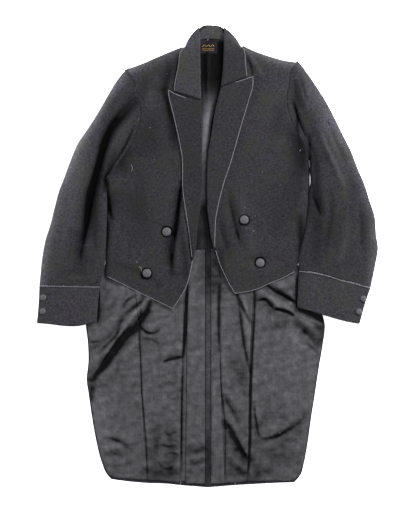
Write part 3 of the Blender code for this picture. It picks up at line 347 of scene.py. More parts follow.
TAIL_CREASES = folds(
    (-6.5, 3, 7, -124, -98, -143, -116, -159, -144, -178, -163, -194, -184, -220, -219, -248, -252, -276,
     -280),
    (-4.5, 2.8, 5, -145, -96, -171, -121, -199, -147, -222, -182, -255, -217),
    (-3, 2.5, 5, -164, -84, -187, -96, -203, -121),
    (-2, 3, 6, -208, -172, -241, -205, -269, -224),
    (-1.6, 4, 8, -173, -196, -208, -242, -255, -289),
    (-3.4, 3, 4, -152, -165, -138, -181, -124, -181, -112, -170),
    (-1.4, 3, 5, -152, -184, -133, -196, -110, -198),
    (-5.5, 2, 2.4, -103, -241, -87, -236, -73, -234, -57, -233),
    (-1.5, 2.4, 3, -98, -256, -77, -254, -61, -256),
    (-1.6, 3, 4, -133, -103, -115, -116, -87, -123),
    (-1.6, 2.6, 3.6, -110, -308, -91, -298, -77, -303),
    (-1.5, 2.4, 3.4, -96, -329, -82, -322, -66, -329),
    (-1.2, 3, 4, -133, -317, -115, -305, -101, -310),
    (-1.4, 2.4, 3.4, -94, -354, -80, -347, -66, -352),
    (-1.9, 2.4, 3.2, -91, -389, -77, -384, -63, -389),
    (-1.9, 2.6, 3.2, -110, -410, -98, -422, -89, -415),
    (-2.2, 2.4, 3.2, -103, -436, -87, -429, -68, -436),
    (-2.6, 2, 2.6, -91, -452, -80, -452, -66, -450),
    (-1.8, 2.6, 3.2, -117, -461, -103, -450, -96, -443),
    (-1.6, 2.6, 3.6, -122, -478, -105, -489, -82, -482),
    (-1.4, 2.6, 3.6, -115, -508, -96, -499, -73, -508),
    (-2.2, 2.6, 4.6, -242, -431, -229, -425, -215, -429, -196, -436, -176, -445),
    (-2.4, 2.6, 4, -242, -461, -227, -459, -203, -466),
    (-1.4, 2.6, 4, -238, -482, -229, -489, -220, -480),
    (-1.3, 3, 4, -222, -359, -208, -352, -194, -363),
    (-1.6, 3, 4, -269, -196, -250, -200, -231, -191),
    (-0.9, 3, 4, -40, -326, -22, -322, -8, -331),
    (-1.6, 3, 4, -36, -452, -22, -445, -8, -452),
    (-1.2, 3, 4, -45, -482, -26, -478, -10, -489),
    (-5, 2.4, 4.2, 116, -105, 128, -102, 138, -102, 149, -112, 163, -126, 181, -129, 202, -137),
    (-6, 2.4, 5, 144, -66, 172, -86, 190, -100, 209, -114, 235, -128, 272, -151),
    (-3, 2.4, 3, 160, -116, 176, -123, 193, -133),
    (-2.2, 5, 9, 125, -175, 142, -168, 165, -156),
    (-2.8, 8, 10, 207, -154, 230, -177, 258, -196),
    (-2, 3, 4, 223, -193, 237, -210, 259, -228),
    (-1.2, 3, 4, 202, -247, 214, -266, 223, -282),
    (-3.6, 2.6, 3.4, 74, -91, 80, -126, 84, -172, 94, -231, 101, -280),
    (-2.6, 2.4, 3, 90, -93, 97, -130, 103, -172),
    (-2.4, 2, 2.6, 37, -254, 44, -247, 52, -256),
    (-1.2, 2.6, 3.4, 39, -308, 53, -310, 65, -319),
    (-2.4, 3, 4.6, 48, -331, 60, -350, 70, -377),
    (-5, 3.4, 4.6, 39, -384, 53, -398, 63, -415, 74, -445, 86, -464, 95, -475),
    (-1.6, 2.4, 3, 44, -440, 53, -436, 62, -443),
    (-1.6, 3, 4, 39, -480, 58, -489, 76, -503),
    (-2.4, 2.4, 3.4, 112, -340, 118, -377, 125, -415, 128, -424),
    (-2.8, 3.6, 5, 125, -425, 144, -426, 163, -422, 183, -408, 206, -389, 225, -366),
    (-1.6, 4, 6, 95, -480, 118, -494, 151, -508),
    (-1.3, 5, 7, 188, -429, 216, -443, 225, -471),
    (-1, 5, 7, 193, -340, 216, -317, 232, -303),
)
# Painted shade in the lining's folds and painted highlight on its ridges, as depths
TAIL_PAINTED_SHADING = folds(
    (-5.4, 7, 9, -126, -105, -140, -133, -160, -154, -168, -170, -189, -184, -206, -204, -217, -224, -234,
     -247, -251, -269, -269, -284, -285, -298),
    (-3, 14, 16, -133, -119, -159, -161, -187, -189, -210, -221, -241, -256),
    (-4.8, 5, 5, -143, -93, -160, -112, -180, -128, -189, -137),
    (-4.5, 4.5, 5, -185, -133, -200, -153, -211, -184, -231, -204, -257, -231),
    (-4, 4, 4, -161, -89, -183, -101, -200, -123),
    (3.5, 4, 4, -143, -105, -171, -135, -189, -163, -217, -200, -243, -235),
    (-1.6, 5, 5, -175, -207, -203, -247, -217, -284),
    (1.6, 5, 5, -166, -196, -194, -231, -208, -261),
    (-4, 3, 4, -276, -200, -262, -199, -248, -198),
    (-3, 10, 10, -269, -298, -271, -322, -269, -345),
    (-4, 5, 5, -129, -93, -136, -116, -143, -130),
    (-2, 6, 6, -203, -93, -222, -112, -241, -130),
    (-5, 3, 3.6, -156, -165, -140, -178, -126, -179, -108, -170),
    (-3, 4, 4, -153, -192, -129, -195, -110, -205),
    (-12, 2.6, 3.2, -103, -245, -83, -239, -57, -234),
    (-11, 3.6, 3.8, -46, -65, -49, -127, -52, -184, -56, -238),
    (-6, 2.6, 2.8, -56, -224, -58, -289, -59, -345, -60, -506),
    (-8, 3.5, 3, -252, -72, -253, -116, -255, -158),
    (-10, 4, 4, 211, -42, 210, -84, 209, -123),
    (-12, 4.5, 4, 209, -123, 223, -128, 242, -135, 270, -151),
    (-10, 2.6, 2.6, 137, -66, 160, -82, 183, -94, 209, -110),
    (-5.5, 3, 3.4, 114, -105, 137, -101, 146, -112, 156, -123, 167, -123),
    (-12, 3.2, 3.4, 158, -121, 172, -125, 183, -129, 204, -139),
    (2.4, 6, 6, 114, -70, 128, -84, 146, -96, 179, -110),
    (4, 3.4, 3.4, 204, -128, 225, -140, 272, -161),
    (-2.2, 9, 8, 123, -175, 156, -165, 193, -144),
    (-3.6, 11, 9, 193, -144, 221, -165, 242, -191, 263, -214),
    (2, 8, 8, 179, -163, 207, -191, 225, -219),
    (-2.4, 3.5, 5, 216, -196, 244, -214, 263, -233),
    (-3, 12, 10, 244, -144, 260, -172, 272, -210),
    (-1, 10, 10, 153, -144, 170, -163, 181, -182),
    (-9, 2.8, 2.8, 111, -75, 110, -130, 108, -163, 105, -219, 102, -280, 100, -366, 99, -452, 95, -506),
    (-6, 1.8, 1.8, -152, -103, -158, -172, -155, -240, -152, -322, -143, -425, -139, -519),
    (-1.8, 20, 18, -82, -382, -82, -447, -87, -513),
    (-2.6, 3, 4, -103, -405, -91, -415, -73, -408),
    (-2.8, 3, 4, -108, -436, -87, -443, -68, -438),
    (-2.6, 3, 3.5, -98, -464, -82, -457, -63, -466),
    (-2.2, 3, 4, -115, -485, -96, -494, -73, -487),
    (-1.8, 3, 4, -105, -291, -87, -301, -68, -289),
    (-1.8, 3, 3.4, -96, -326, -80, -333, -63, -324),
    (-1.8, 3, 3.4, -91, -356, -77, -361, -63, -354),
    (-2.4, 6, 8, -45, -473, -26, -482, -5, -471),
    (-4, 7, 9, -50, -445, -29, -452, -3, -443),
    (-3.2, 12, 14, -157, -499, -110, -506, -59, -501),
    (-2.6, 16, 14, 34, -501, 83, -508, 158, -503),
    (-1.8, 10, 10, 72, -233, 83, -277, 90, -326),
    (-2.4, 10, 12, -115, -391, -117, -419, -119, -452),
    (-2, 12, 12, 156, -368, 128, -387, 114, -419),
    (-2, 6, 6, -47, -499, -26, -506, -5, -499),
    (-2.8, 4, 6, -248, -425, -224, -424, -196, -437, -173, -452),
    (-2.8, 4, 4, -252, -457, -227, -463, -201, -459),
    (-1.6, 4, 6, -241, -480, -222, -489, -199, -487),
    (-6.5, 4, 4, 65, -75, 72, -98, 81, -116, 93, -140, 102, -161),
    (-6, 3.6, 3.6, 72, -98, 77, -135, 86, -205, 100, -275),
    (-1.8, 11, 11, 53, -219, 67, -261, 81, -312),
    (1.8, 4, 4, 83, -84, 90, -126, 97, -184),
    (-6, 3.6, 4, 29, -65, 27, -126, 28, -224),
    (-5, 2, 2, 30, -207, 33, -312, 40, -379, 42, -519),
    (-2, 5, 6, 34, -308, 48, -340, 67, -373, 79, -405),
    (2.2, 5, 5, 44, -373, 62, -401, 81, -438, 95, -457),
    (-4.8, 9, 10, 37, -377, 50, -396, 65, -424, 81, -452, 97, -482),
    (-2.2, 7, 7, 37, -322, 51, -345, 62, -368, 72, -391),
    (-2.4, 9, 9, 97, -464, 107, -482, 116, -499),
    (-1.8, 24, 20, 128, -464, 170, -473, 216, -457),
    (-2, 8, 8, 41, -464, 62, -489, 90, -508),
    (-5, 2.6, 4, 108, -336, 114, -382, 122, -424),
    (-3.8, 5, 6, 122, -423, 142, -423, 163, -417, 188, -405, 209, -391, 235, -359),
    (-1.4, 12, 10, 151, -431, 193, -419, 230, -391),
    (-0.8, 8, 8, 104, -494, 128, -503, 160, -499),
    (4, 4.6, 4.6, 2, -65, 2, -219, 1, -419),
    (-2.4, 9, 9, 3, -419, 3, -466, 3, -522),
    (1.6, 5, 5, 16, -289, 17, -359, 17, -429),
    (-3.4, 30, 26, 11, 19, 13, -44, 16, -103),
    (-2.2, 24, 24, 67, -70, 128, -89, 193, -84, 230, -107),
    (-3, 14, 14, 258, -121, 270, -149, 277, -182),
    (-1.5, 30, 30, 67, -382, 72, -440, 76, -499),
    (-1.2, 16, 16, -115, -429, -117, -468, -119, -508),
    (2, 20, 16, -255, -298, -250, -405, -236, -499),
    (-2.5, 10, 12, -180, -154, -203, -196, -222, -224),
    (-2.8, 12, 4, -203, -191, -234, -235, -257, -273, -278, -308),
    (-1.6, 7, 6, -257, -280, -265, -303, -270, -336),
    (-1.8, 6, 6, 118, -424, 146, -422, 176, -408, 209, -377),
    (-1.1, 16, 14, 90, -443, 142, -457, 197, -443),
    (-1.1, 9, 8, -8, -298, 2, -336, 13, -382),
    (-1, 13, 13, -175, -196, -133, -205, -82, -191),
    (-0.9, 13, 13, -143, -419, -133, -464, -129, -499),
)
# The front buttons' centres, round which the fronts' colour gets a painted shadow ring
BUTTON_SEATS = [(-94, 57), (-141, -41), (87, 83), (123, -15)]
# Painted highlight down the body lining's pleat and painted shade beside it, where it shows between the
# lapels
BODY_PAINTED_SHADING = folds(
    (-5, 2, 2.4, -12, 480, -12, 363, -12, 224, -13, 130),
    (-7, 4.5, 3, 31, 410, 17, 317, 5, 224, 3, 130),
    (-5, 2, 2, -4, 480, -4, 422, -4, 373),
    (-2.2, 22, 22, 11, 480, 11, 429, 9, 375),
    (8, 7, 7, -2, 336, -4, 270, -5, 200, -6, 116),
    (5, 7, 9, 5, 382, 0, 305, -4, 224, -5, 126),
    (3, 6, 7, 18, 377, 9, 336, 4, 305),
)
# Painted shade and painted highlight on the fronts and the sleeves, in broad soft patches and narrower lines,
# as depths
FRONT_PAINTED_SHADING = folds(
    (-1.8, 38, 42, -129, 345, -133, 294, -157, 224),
    (-2.6, 8, 10, 211, 298, 223, 247, 230, 186),
    (-1.2, 24, 24, 160, 363, 165, 317, 167, 270),
    (-1.6, 14, 16, -222, 154, -224, 123, -227, 96),
    (-1.6, 14, 14, -96, 49, -82, -14, -73, -56),
    (-3.6, 7, 12, -98, 396, -91, 352, -83, 308, -73, 242),
    (-3, 18, 22, -194, 275, -199, 228, -199, 186),
    (-3, 9, 9, -61, 96, -57, 37, -52, -14, -47, -68),
    (-2.6, 10, 10, 27, 26, 32, -21, 44, -68),
    (-4, 9, 9, 216, 103, 218, 37, 218, -21),
    (-2.6, 16, 16, 193, 312, 207, 247, 211, 182),
    (7, 16, 16, -243, 387, -222, 412, -185, 436, -133, 459),
    (3, 14, 14, 128, 464, 181, 447, 228, 419),
    (-3.2, 5, 7, -63, 485, -69, 445, -75, 401),
    (-5, 4, 3.4, -58, 177, -63, 135, -68, 89, -74, 33),
    (-1.6, 3, 3, 46, 149, 58, 100, 69, 54, 76, 30),
    (-3, 2, 2, 67, 63, 71, 51, 74, 37),
    (-3, 3, 3, 27, 116, 22, 103, 20, 79),
    (-2.6, 3, 4, -40, 96, -38, 37, -33, -23),
    (1, 12, 12, 76, -14, 128, -23, 181, -14),
    (-2.6, 8, 12, -84, 457, -91, 415, -103, 375),
)
SLEEVE_PAINTED_SHADING = folds(
    (2.6, 34, 30, -231, 363, -296, 247, -338, 130, -366, 26, -383, -79),
    (17, 15, 15, -189, 426, -236, 377, -266, 331, -294, 284, -317, 233, -341, 168),
    (-3, 9, 9, -231, 196, -234, 172, -236, 144),
    (-2, 16, 16, 249, 172, 256, 79, 249, -28),
    (-3.4, 4, 5, 202, 363, 208, 336, 210, 294, 211, 247),
    (2.2, 9, 9, -250, 252, -262, 212, -276, 154),
    (5, 12, 12, -334, 186, -357, 112, -376, 37, -385, -44, -394, -103),
    (-3, 5, 6, -175, 366, -206, 331, -230, 290, -251, 227, -266, 177, -276, 135, -281, 79),
    (-1.8, 8, 8, -257, 130, -259, 49, -262, -37),
    (-2.6, 8, 10, -208, 256, -224, 212, -234, 165),
    (3.6, 20, 14, 235, 401, 258, 354, 286, 298, 314, 242),
    (1.6, 12, 12, 384, 84, 384, 14, 379, -56),
    (-1.4, 12, 12, 328, 200, 337, 154, 337, 119),
)



# Lines


def resampled(points: Array, shares: Array) -> Array:
    """Find the points at given shares of the way along a polyline.

    Args:
        points: the polyline.
        shares: where to look, from 0 to 1.

    Returns:
        One point for each share.
    """
    lengths = np.concatenate([[0.0], np.cumsum(np.linalg.norm(np.diff(points, axis=0), axis=1))])
    return np.column_stack([np.interp(shares * lengths[-1], lengths, axis) for axis in points.T])


def curve(points: Sequence, spacing: float = 4.0, shares: Array | None = None) -> Array:
    """Draw the smooth curve through some points.

    Args:
        points: what the curve goes through.
        spacing: the distance between the points that come back, where no shares are given.
        shares: the shares of the curve's length at which to give points.

    Returns:
        The points along the curve.
    """
    points = np.asarray(points, float)
    at = np.concatenate([[0.0], np.cumsum(np.linalg.norm(np.diff(points, axis=0), axis=1))])
    if len(points) > 2:
        slope = np.gradient(points, at, axis=0)
        t = np.linspace(0, 1, 13)[:, None]
        fine = [
            points[i] * (2 * t**3 - 3 * t**2 + 1) + points[i + 1] * (3 * t**2 - 2 * t**3)
            + step * slope[i] * (t**3 - 2 * t**2 + t) + step * slope[i + 1] * (t**3 - t**2)
            for i, step in enumerate(np.diff(at))
        ]
        points = np.concatenate(fine)
        points = points[np.concatenate([[True], np.linalg.norm(np.diff(points, axis=0), axis=1) > 1e-6])]
    if shares is None:
        length = np.linalg.norm(np.diff(points, axis=0), axis=1).sum()
        shares = np.linspace(0, 1, max(2, round(length / spacing) + 1))
    return resampled(points, shares)


def outline(*edges: Sequence, spacing: float = 4.0) -> Array:
    """Join edges that follow each other end to end into one closed outline, anticlockwise.

    Args:
        edges: the edges' points.
        spacing: the distance between the outline's points.

    Returns:
        The outline's points, the first not repeated at its end.
    """
    points = np.concatenate([curve(edge, spacing) for edge in edges])
    points = points[np.linalg.norm(points - np.roll(points, 1, axis=0), axis=1) > 0.5]
    x, y = points.T
    area = (x * np.roll(y, -1) - np.roll(x, -1) * y).sum()
    return points if area > 0 else points[::-1]


def between(down: Sequence, up: Sequence, spacing: float = 4.0) -> Array:
    """Give the outline between an edge that runs down and one that runs up, closed by straight ends."""
    return outline(down, [down[-1], up[0]], up, [up[-1], down[0]], spacing=spacing)


def drawn_in(points: Array, distance: float) -> Array:
    """Move every edge of a closed anticlockwise outline in by a distance.

    Args:
        points: the outline.
        distance: how far in, in mm.

    Returns:
        The new outline, point for point.
    """
    before = points - np.roll(points, 1, axis=0)
    after = np.roll(points, -1, axis=0) - points
    left = [np.column_stack([-way[:, 1], way[:, 0]]) / np.linalg.norm(way, axis=1)[:, None]
            for way in (before, after)]
    middle = left[0] + left[1]
    middle /= np.linalg.norm(middle, axis=1)[:, None]
    stretch = np.maximum((middle * left[0]).sum(1), 0.4)
    return points + middle * (distance / stretch)[:, None]


def nearest(points: Array, path: Array) -> tuple[Array, Array]:
    """Measure how far points are from a path.

    Args:
        points: the points.
        path: the path's points.

    Returns:
        Each point's distance, above 0 on the path's left, and the share of the path where it is nearest.
    """
    moved = np.linalg.norm(np.diff(path, axis=0), axis=1) > 1e-6
    start, run = path[:-1][moved], np.diff(path, axis=0)[moved]
    lengths = np.linalg.norm(run, axis=1)
    begun = np.concatenate([[0.0], np.cumsum(lengths)[:-1]])
    distances, shares = [], []
    for block in np.array_split(points, max(1, len(points) * len(run) // 400_000)):
        offset = block[:, None, :] - start[None]
        share = np.clip((offset * run).sum(2) / lengths**2, 0, 1)
        far = np.linalg.norm(offset - share[..., None] * run, axis=2)
        best = far.argmin(1)
        row = np.arange(len(block))
        cross = run[best, 0] * offset[row, best, 1] - run[best, 1] * offset[row, best, 0]
        distances.append(np.where(cross < 0, -1, 1) * far[row, best])
        shares.append((begun[best] + share[row, best] * lengths[best]) / lengths.sum())
    return np.concatenate(distances), np.concatenate(shares)


def shifted(path: Array, distance: float) -> Array:
    """Move a path sideways.

    Args:
        path: the path's points.
        distance: how far to its left, in mm.

    Returns:
        The new path, point for point.
    """
    way = np.gradient(np.asarray(path, float), axis=0)
    way /= np.linalg.norm(way, axis=1)[:, None]
    return path + distance * np.column_stack([-way[:, 1], way[:, 0]])


def eased(values: Array) -> Array:
    """Hold values between 0 and 1 and soften both ends."""
    values = np.clip(values, 0, 1)
    return values * values * (3 - 2 * values)


# Relief


def relief(points: Array, folds: Sequence[Fold], scale: float = 1.0, widen: float = 1.0) -> Array:
    """Add up what folds do to the height at each point.

    Args:
        points: the points, in plan.
        folds: the folds.
        scale: what their heights are multiplied by.
        widen: what their widths are multiplied by.

    Returns:
        The rise at each point, in mm.
    """
    rise = np.zeros(len(points))
    for fold in folds:
        path = curve(fold.path, 5.0)
        reach = 2.8 * widen * max(fold.left, fold.right)
        low, high = path.min(0) - reach, path.max(0) + reach
        near = ((points > low) & (points < high)).all(1)
        if near.any():
            far, along = nearest(points[near], path)
            width = widen * np.where(far > 0, fold.left, fold.right)
            ends = np.sqrt(abs(np.sin(np.pi * along)))
            rise[near] += scale * fold.height * ends * np.exp(-((far / width) ** 2))
    return rise


def ripples(points: Array, wavelength: float, height: float, seed: int, stretch: float = 1.0) -> Array:
    """Give cloth that lies loose its low uneven waves.

    Args:
        points: the points, in plan.
        wavelength: the waves' mean length, in mm.
        height: their height, in mm.
        seed: the number that the waves are drawn from.
        stretch: how many times longer they are along Y.

    Returns:
        The rise at each point, in mm.
    """
    rng = np.random.default_rng(seed)
    rise = np.zeros(len(points))
    count = 14
    for _ in range(count):
        angle, phase = rng.uniform(0, 2 * math.pi, 2)
        length = wavelength * rng.uniform(0.6, 1.7)
        way = np.array([math.cos(angle), math.sin(angle) / stretch])
        rise += np.sin(points @ way * 2 * math.pi / length + phase)
    return height * rise / math.sqrt(count)


# How the coat lies


@dataclass(frozen=True)
class Ground:
    """What lies under the fronts' sides, the sleeves and the cuffs: the table, or the edge of a tail."""

    lift: float = 4.6
    reach: float = 12.0
    lining_top: float = 3.2

    def height(self, points: Array) -> Array:
        """Give the height of what a sleeve or a front's side lies on.

        Args:
            points: the points, in plan.

        Returns:
            The height at each point, in mm.
        """
        lift = np.zeros(len(points))
        for side in Side:
            edge = curve(TAIL_SIDE[side], 12.0)[:: -side.sign]
            inside = nearest(points, edge)[0]
            within = eased((30.0 - points[:, 1]) / 30.0)
            rise = self.lift * eased((inside + self.reach + 2.0) / self.reach) * within
            lift = np.maximum(lift, rise)
        return lift

    def floor(self, points: Array) -> Array:
        """Give the lowest that a piece may reach beside or over a tail, in mm, at each point."""
        return np.where(self.height(points) > 0.5 * self.lift, self.lining_top, 0.0)


@dataclass(frozen=True)
class FrontForm:
    """The foreparts' outer face: a low plateau that curls down to the table at side folds and shoulders."""

    plateau: float = 12.0
    roll_lift: float = 2.5
    roll_reach: float = 55.0
    hem_drop: float = 2.5
    hem_reach: float = 30.0
    curl: float = 15.0
    ground: Ground = Ground()

    def height(self, points: Array) -> Array:
        """Give the height of the fronts' outer face.

        Args:
            points: the points, in plan.

        Returns:
            The height at each point, in mm.
        """
        edges = [SHOULDER[Side.RIGHT], SIDE[Side.RIGHT], SHOULDER[Side.LEFT], SIDE[Side.LEFT][::-1]]
        inside = np.min([nearest(points, edge)[0] for edge in edges], axis=0)
        curl = np.sqrt(1 - (1 - np.clip(inside / self.curl, 0, 1)) ** 2)
        roll = np.min([abs(nearest(points, ROLL[side])[0]) for side in Side], axis=0)
        hem = np.min([abs(nearest(points, BOTTOM[side])[0]) for side in Side], axis=0)
        plateau = self.plateau + self.roll_lift * np.exp(-((roll / self.roll_reach) ** 2))
        plateau -= self.hem_drop * np.exp(-((hem / self.hem_reach) ** 2))
        raised = relief(points, FRONT_FOLDS, 1.6) + ripples(points, 70.0, 0.5, 3)
        plateau += raised + ripples(points, 26.0, 0.16, 4)
        ground = self.ground.height(points)
        return ground + (plateau - ground) * curl

    def depth(self, points: Array) -> Array:
        """Give the depth that the cloth's colour is painted by: painted shade in its folds, in patches and
        round the buttons, painted highlight along the shoulders and in a few patches.

        Args:
            points: the points, in plan.

        Returns:
            The depth at each point, in mm, above 0 where painted highlight lies, below 0 where painted shade
            lies.
        """
        shoulder = np.min([abs(nearest(points, SHOULDER[side])[0]) for side in Side], axis=0)
        # painted highlight along the shoulders, then a painted shadow ring round each button seat
        tone_shift = 5.0 * np.exp(-((shoulder / 15.0) ** 2))
        for seat in BUTTON_SEATS:
            tone_shift = tone_shift - 6.0 * np.exp(-(((np.hypot(*(points - seat).T) - 11.5) / 2.2) ** 2))
        return relief(points, FRONT_FOLDS, 0.6, 1.2) + relief(points, FRONT_PAINTED_SHADING) + tone_shift


@dataclass(frozen=True)
class TailForm:
    """The upper face of the tail linings, flattened where the sleeves and the body lie on them."""

    base: float = 1.9
    lining: float = 1.0

    def height(self, points: Array) -> Array:
        """Give the height of the tail linings' upper face.

        Args:
            points: the points, in plan.

        Returns:
            The height at each point, in mm.
        """
        free = np.ones(len(points))
        for side in Side:
            sleeve = np.concatenate([SLEEVE_INNER[side], CUFF_INNER[side][1:], MOUTH[side][-2::-1]])
            free = np.minimum(free, eased((-nearest(points, sleeve[:: side.sign])[0] - 1.0) / 18.0))
        free = free * eased((20.0 - points[:, 1]) / 60.0)
        rise = np.clip(relief(points, TAIL_FOLDS, 1.9), 0, None) * free
        for side in Side:
            front = np.concatenate([BOTTOM[side], FRONT_EDGE[side][-2::-1], ROLL[side][-2::-1]])
            outside = np.clip(nearest(points, front)[0] * side.sign, 0, None)
            rise = np.minimum(rise, 3.6 + 0.8 * outside + 100.0 * (points[:, 0] * side.sign < 0))
        creases = relief(points, TAIL_CREASES, 1.3)
        fine = creases + 0.8 + ripples(points, 42.0, 0.5, 11, 2.0) + ripples(points, 15.0, 0.13, 12, 2.2)
        soft = 0.5 * np.clip(-creases, 0, None)
        swell = np.exp(-((points[:, 0] + 20.0) / 260.0) ** 2)
        return self.base + self.lining + rise + np.maximum(fine + soft, -0.7 - rise) * free + swell * free

    def depth(self, points: Array) -> Array:
        """Give the depth, in mm, that the lining's colour is painted by: painted shade and highlight, with a
        random mottle.
        """
        crumple = ripples(points, 34.0, 0.6, 41, 0.6) + ripples(points, 13.0, 0.42, 42)
        return relief(points, TAIL_PAINTED_SHADING) + crumple


FRONT = FrontForm()
TAIL = TailForm()
GROUND = Ground()

# Meshes


def contained(points: Array, ring: Array) -> Array:
    """Tell which points lie inside a closed outline.

    Args:
        points: the points.
        ring: the outline.

    Returns:
        True for each point that does.
    """
    x, y = points.T
    result = np.zeros(len(points), bool)
    for (x0, y0), (x1, y1) in zip(ring, np.roll(ring, -1, axis=0)):
        crosses = (y0 > y) != (y1 > y)
        if y0 != y1:
            result ^= crosses & (x < (x1 - x0) * (y - y0) / (y1 - y0) + x0)
    return result


def net(ring: Array, spacing: float, rows: Sequence[float] = ()) -> tuple[Array, Array]:
    """Cover an outline with triangles: its own points, rows set in from it, and a field between.

    Args:
        ring: the outline.
        spacing: the distance between the field's points.
        rows: how far in each row lies.

    Returns:
        The points in plan, and the triangles.
    """
    closed = np.concatenate([ring, ring[:1]])
    inner = []
    for depth in rows:
        row = drawn_in(ring, depth)
        far = nearest(row, closed)[0]
        inner.append(row[contained(row, ring) & (abs(far) > 0.85 * depth)])
    low, high = ring.min(0), ring.max(0)
    pitch = spacing * math.sqrt(3) / 2
    x, y = np.meshgrid(np.arange(low[0], high[0], spacing), np.arange(low[1], high[1], pitch))
    x[1::2] += spacing / 2
    grid = np.column_stack([x.ravel(), y.ravel()])
    grid = grid[contained(grid, ring)]
    if len(grid):
        grid = grid[abs(nearest(grid, closed)[0]) > max([0.0, *rows]) + 0.55 * spacing]
    points = np.concatenate([ring, *inner, grid])
    edges = [(i, (i + 1) % len(ring)) for i in range(len(ring))]
    flat, _, triangles, *_ = delaunay_2d_cdt([Vector(p) for p in points], edges, [], 1, 1e-4)
    return np.array([tuple(p) for p in flat]), np.array([tuple(t) for t in triangles])


def normals(points: Array, triangles: Array) -> Array:
    """Give the unit normal of a surface at each of its points.

    Args:
        points: the surface's points.
        triangles: its triangles.

    Returns:
        The normals.
    """
    corner = points[triangles]
    face = np.cross(corner[:, 1] - corner[:, 0], corner[:, 2] - corner[:, 0])
    total = np.zeros_like(points)
    for i in range(3):
        np.add.at(total, triangles[:, i], face)
    return total / np.maximum(np.linalg.norm(total, axis=1), 1e-12)[:, None]


def linked(name: str, points: Array, faces: Sequence) -> Object:
    """Make a smooth mesh object.

    Args:
        name: the object's name.
        points: its points, in mm.
        faces: its faces.

    Returns:
        The object, linked to the scene.
    """
    mesh = bpy.data.meshes.new(name)
    points = np.column_stack([points[:, :2], np.maximum(points[:, 2], 0.0)])
    mesh.from_pydata((points * MM).tolist(), [], faces)
    mesh.shade_smooth()
    obj = bpy.data.objects.new(name, mesh)
    bpy.context.scene.collection.objects.link(obj)
    return obj


def wall(name: str, upper: Array, lower: Array, triangles: Array, bevel: float = 0.25,
         depth: Array | None = None) -> Object:
    """Make a closed piece of cloth between two faces that share their triangles, with a soft edge.

    Args:
        name: the object's name.
        upper: the points of the outer face, in mm.
        lower: the points of the inner face.
        triangles: the triangles of both.
        bevel: how far the faces stop short of the edge, in mm.
        depth: each point's depth for the painted shade and highlight in the cloth's colour.

    Returns:
        The object.
    """
    count = len(upper)
    ends = np.concatenate([triangles[:, [0, 1]], triangles[:, [1, 2]], triangles[:, [2, 0]]])
    keys = ends[:, 0] * count + ends[:, 1]
    rim = ends[~np.isin(keys, ends[:, 1] * count + ends[:, 0])]
    way, up = upper[rim[:, 1]] - upper[rim[:, 0]], normals(upper, triangles)
    out = np.zeros_like(upper)
    for end in (0, 1):
        np.add.at(out, rim[:, end], np.cross(way, up[rim[:, end]]))
    edge = np.unique(rim)
    out = out[edge] / np.maximum(np.linalg.norm(out[edge], axis=1), 1e-9)[:, None]
    middle = (upper[edge] + lower[edge]) / 2
    upper, lower = upper.copy(), lower.copy()
    upper[edge] -= bevel * out
    lower[edge] -= bevel * out
    place = np.zeros(count, int)
    place[edge] = 2 * count + np.arange(len(edge))
    a, b = rim.T
    faces = [*triangles.tolist(), *(triangles[:, ::-1] + count).tolist()]
    faces += np.column_stack([b, a, place[a], place[b]]).tolist()
    faces += np.column_stack([place[b], place[a], a + count, b + count]).tolist()
    obj = linked(name, np.concatenate([upper, lower, middle]), faces)
    # the depth that the finish turns into painted shade and highlight; the inner face gets none, the edge
    # half
    depth = np.zeros(count) if depth is None else depth
    values = np.concatenate([depth, 0 * depth, 0.5 * depth[edge]]).astype(np.float32)
    obj.data.attributes.new("painted_shading_depth", "FLOAT", "POINT").data.foreach_set("value", values)
    return obj


def panel(name: str, ring: Array, height: Height, thickness: float, spacing: float,
          rows: Sequence[float] = (1.2, 3.0), floor: Height | None = None,
          depth: Height | None = None) -> Object:
    """Make a piece of cloth whose outer face follows a height.

    Args:
        name: the object's name.
        ring: its outline.
        height: the height of its outer face at points in plan.
        thickness: the cloth's thickness, in mm.
        spacing: the distance between its points.
        rows: rows of points set in from its edge.
        floor: the lowest that it may reach.
        depth: each point's depth for the painted shade and highlight in the cloth's colour.

    Returns:
        The object.
    """
    flat, triangles = net(ring, spacing, rows)
    upper = np.column_stack([flat, height(flat)])
    lower = upper - thickness * normals(upper, triangles)
    if floor is not None:
        lower[:, 2] = np.maximum(lower[:, 2], floor(lower[:, :2]))
        upper[:, 2] = np.maximum(upper[:, 2], lower[:, 2] + 0.6 * thickness)
    return wall(name, upper, lower, triangles, depth=depth(flat) if depth else None)


def grid_triangles(rows: int, columns: int, closed: bool = False) -> Array:
    """Give the triangles of a grid of points.

    Args:
        rows: how many rows it has.
        columns: how many columns it has.
        closed: whether its last column joins its first.

    Returns:
        The triangles.
    """
    i, j = np.meshgrid(np.arange(rows - 1), np.arange(columns if closed else columns - 1), indexing="ij")
    a, b = (i * columns + j).ravel(), (i * columns + (j + 1) % columns).ravel()
    halves = [np.column_stack([a, a + columns, b]), np.column_stack([b, a + columns, b + columns])]
    return np.stack(halves, axis=1).reshape(-1, 3)


def strip(name: str, grid: Array, thickness: float, closed: bool = False,
          level: Array | None = None, depth: Array | None = None) -> Object:
    """Make cloth whose outer face is a grid of points.

    Args:
        name: the object's name.
        grid: the points, rows by columns, in mm.
        thickness: the cloth's thickness.
        closed: whether it goes right round.
        level: the points where its wall is cut level.
        depth: each point's depth for the painted shade and highlight in the cloth's colour.

    Returns:
        The object.
    """
    rows, columns, _ = grid.shape
    triangles = grid_triangles(rows, columns, closed)
    points = grid.reshape(-1, 3)
    out = normals(points, triangles).reshape(grid.shape)
    if level is not None:
        out[level, 2] = 0
        out[level] /= np.linalg.norm(out[level], axis=1)[:, None]
    return wall(name, points, (grid - thickness * out).reshape(-1, 3), triangles,
                depth=None if depth is None else depth.ravel())


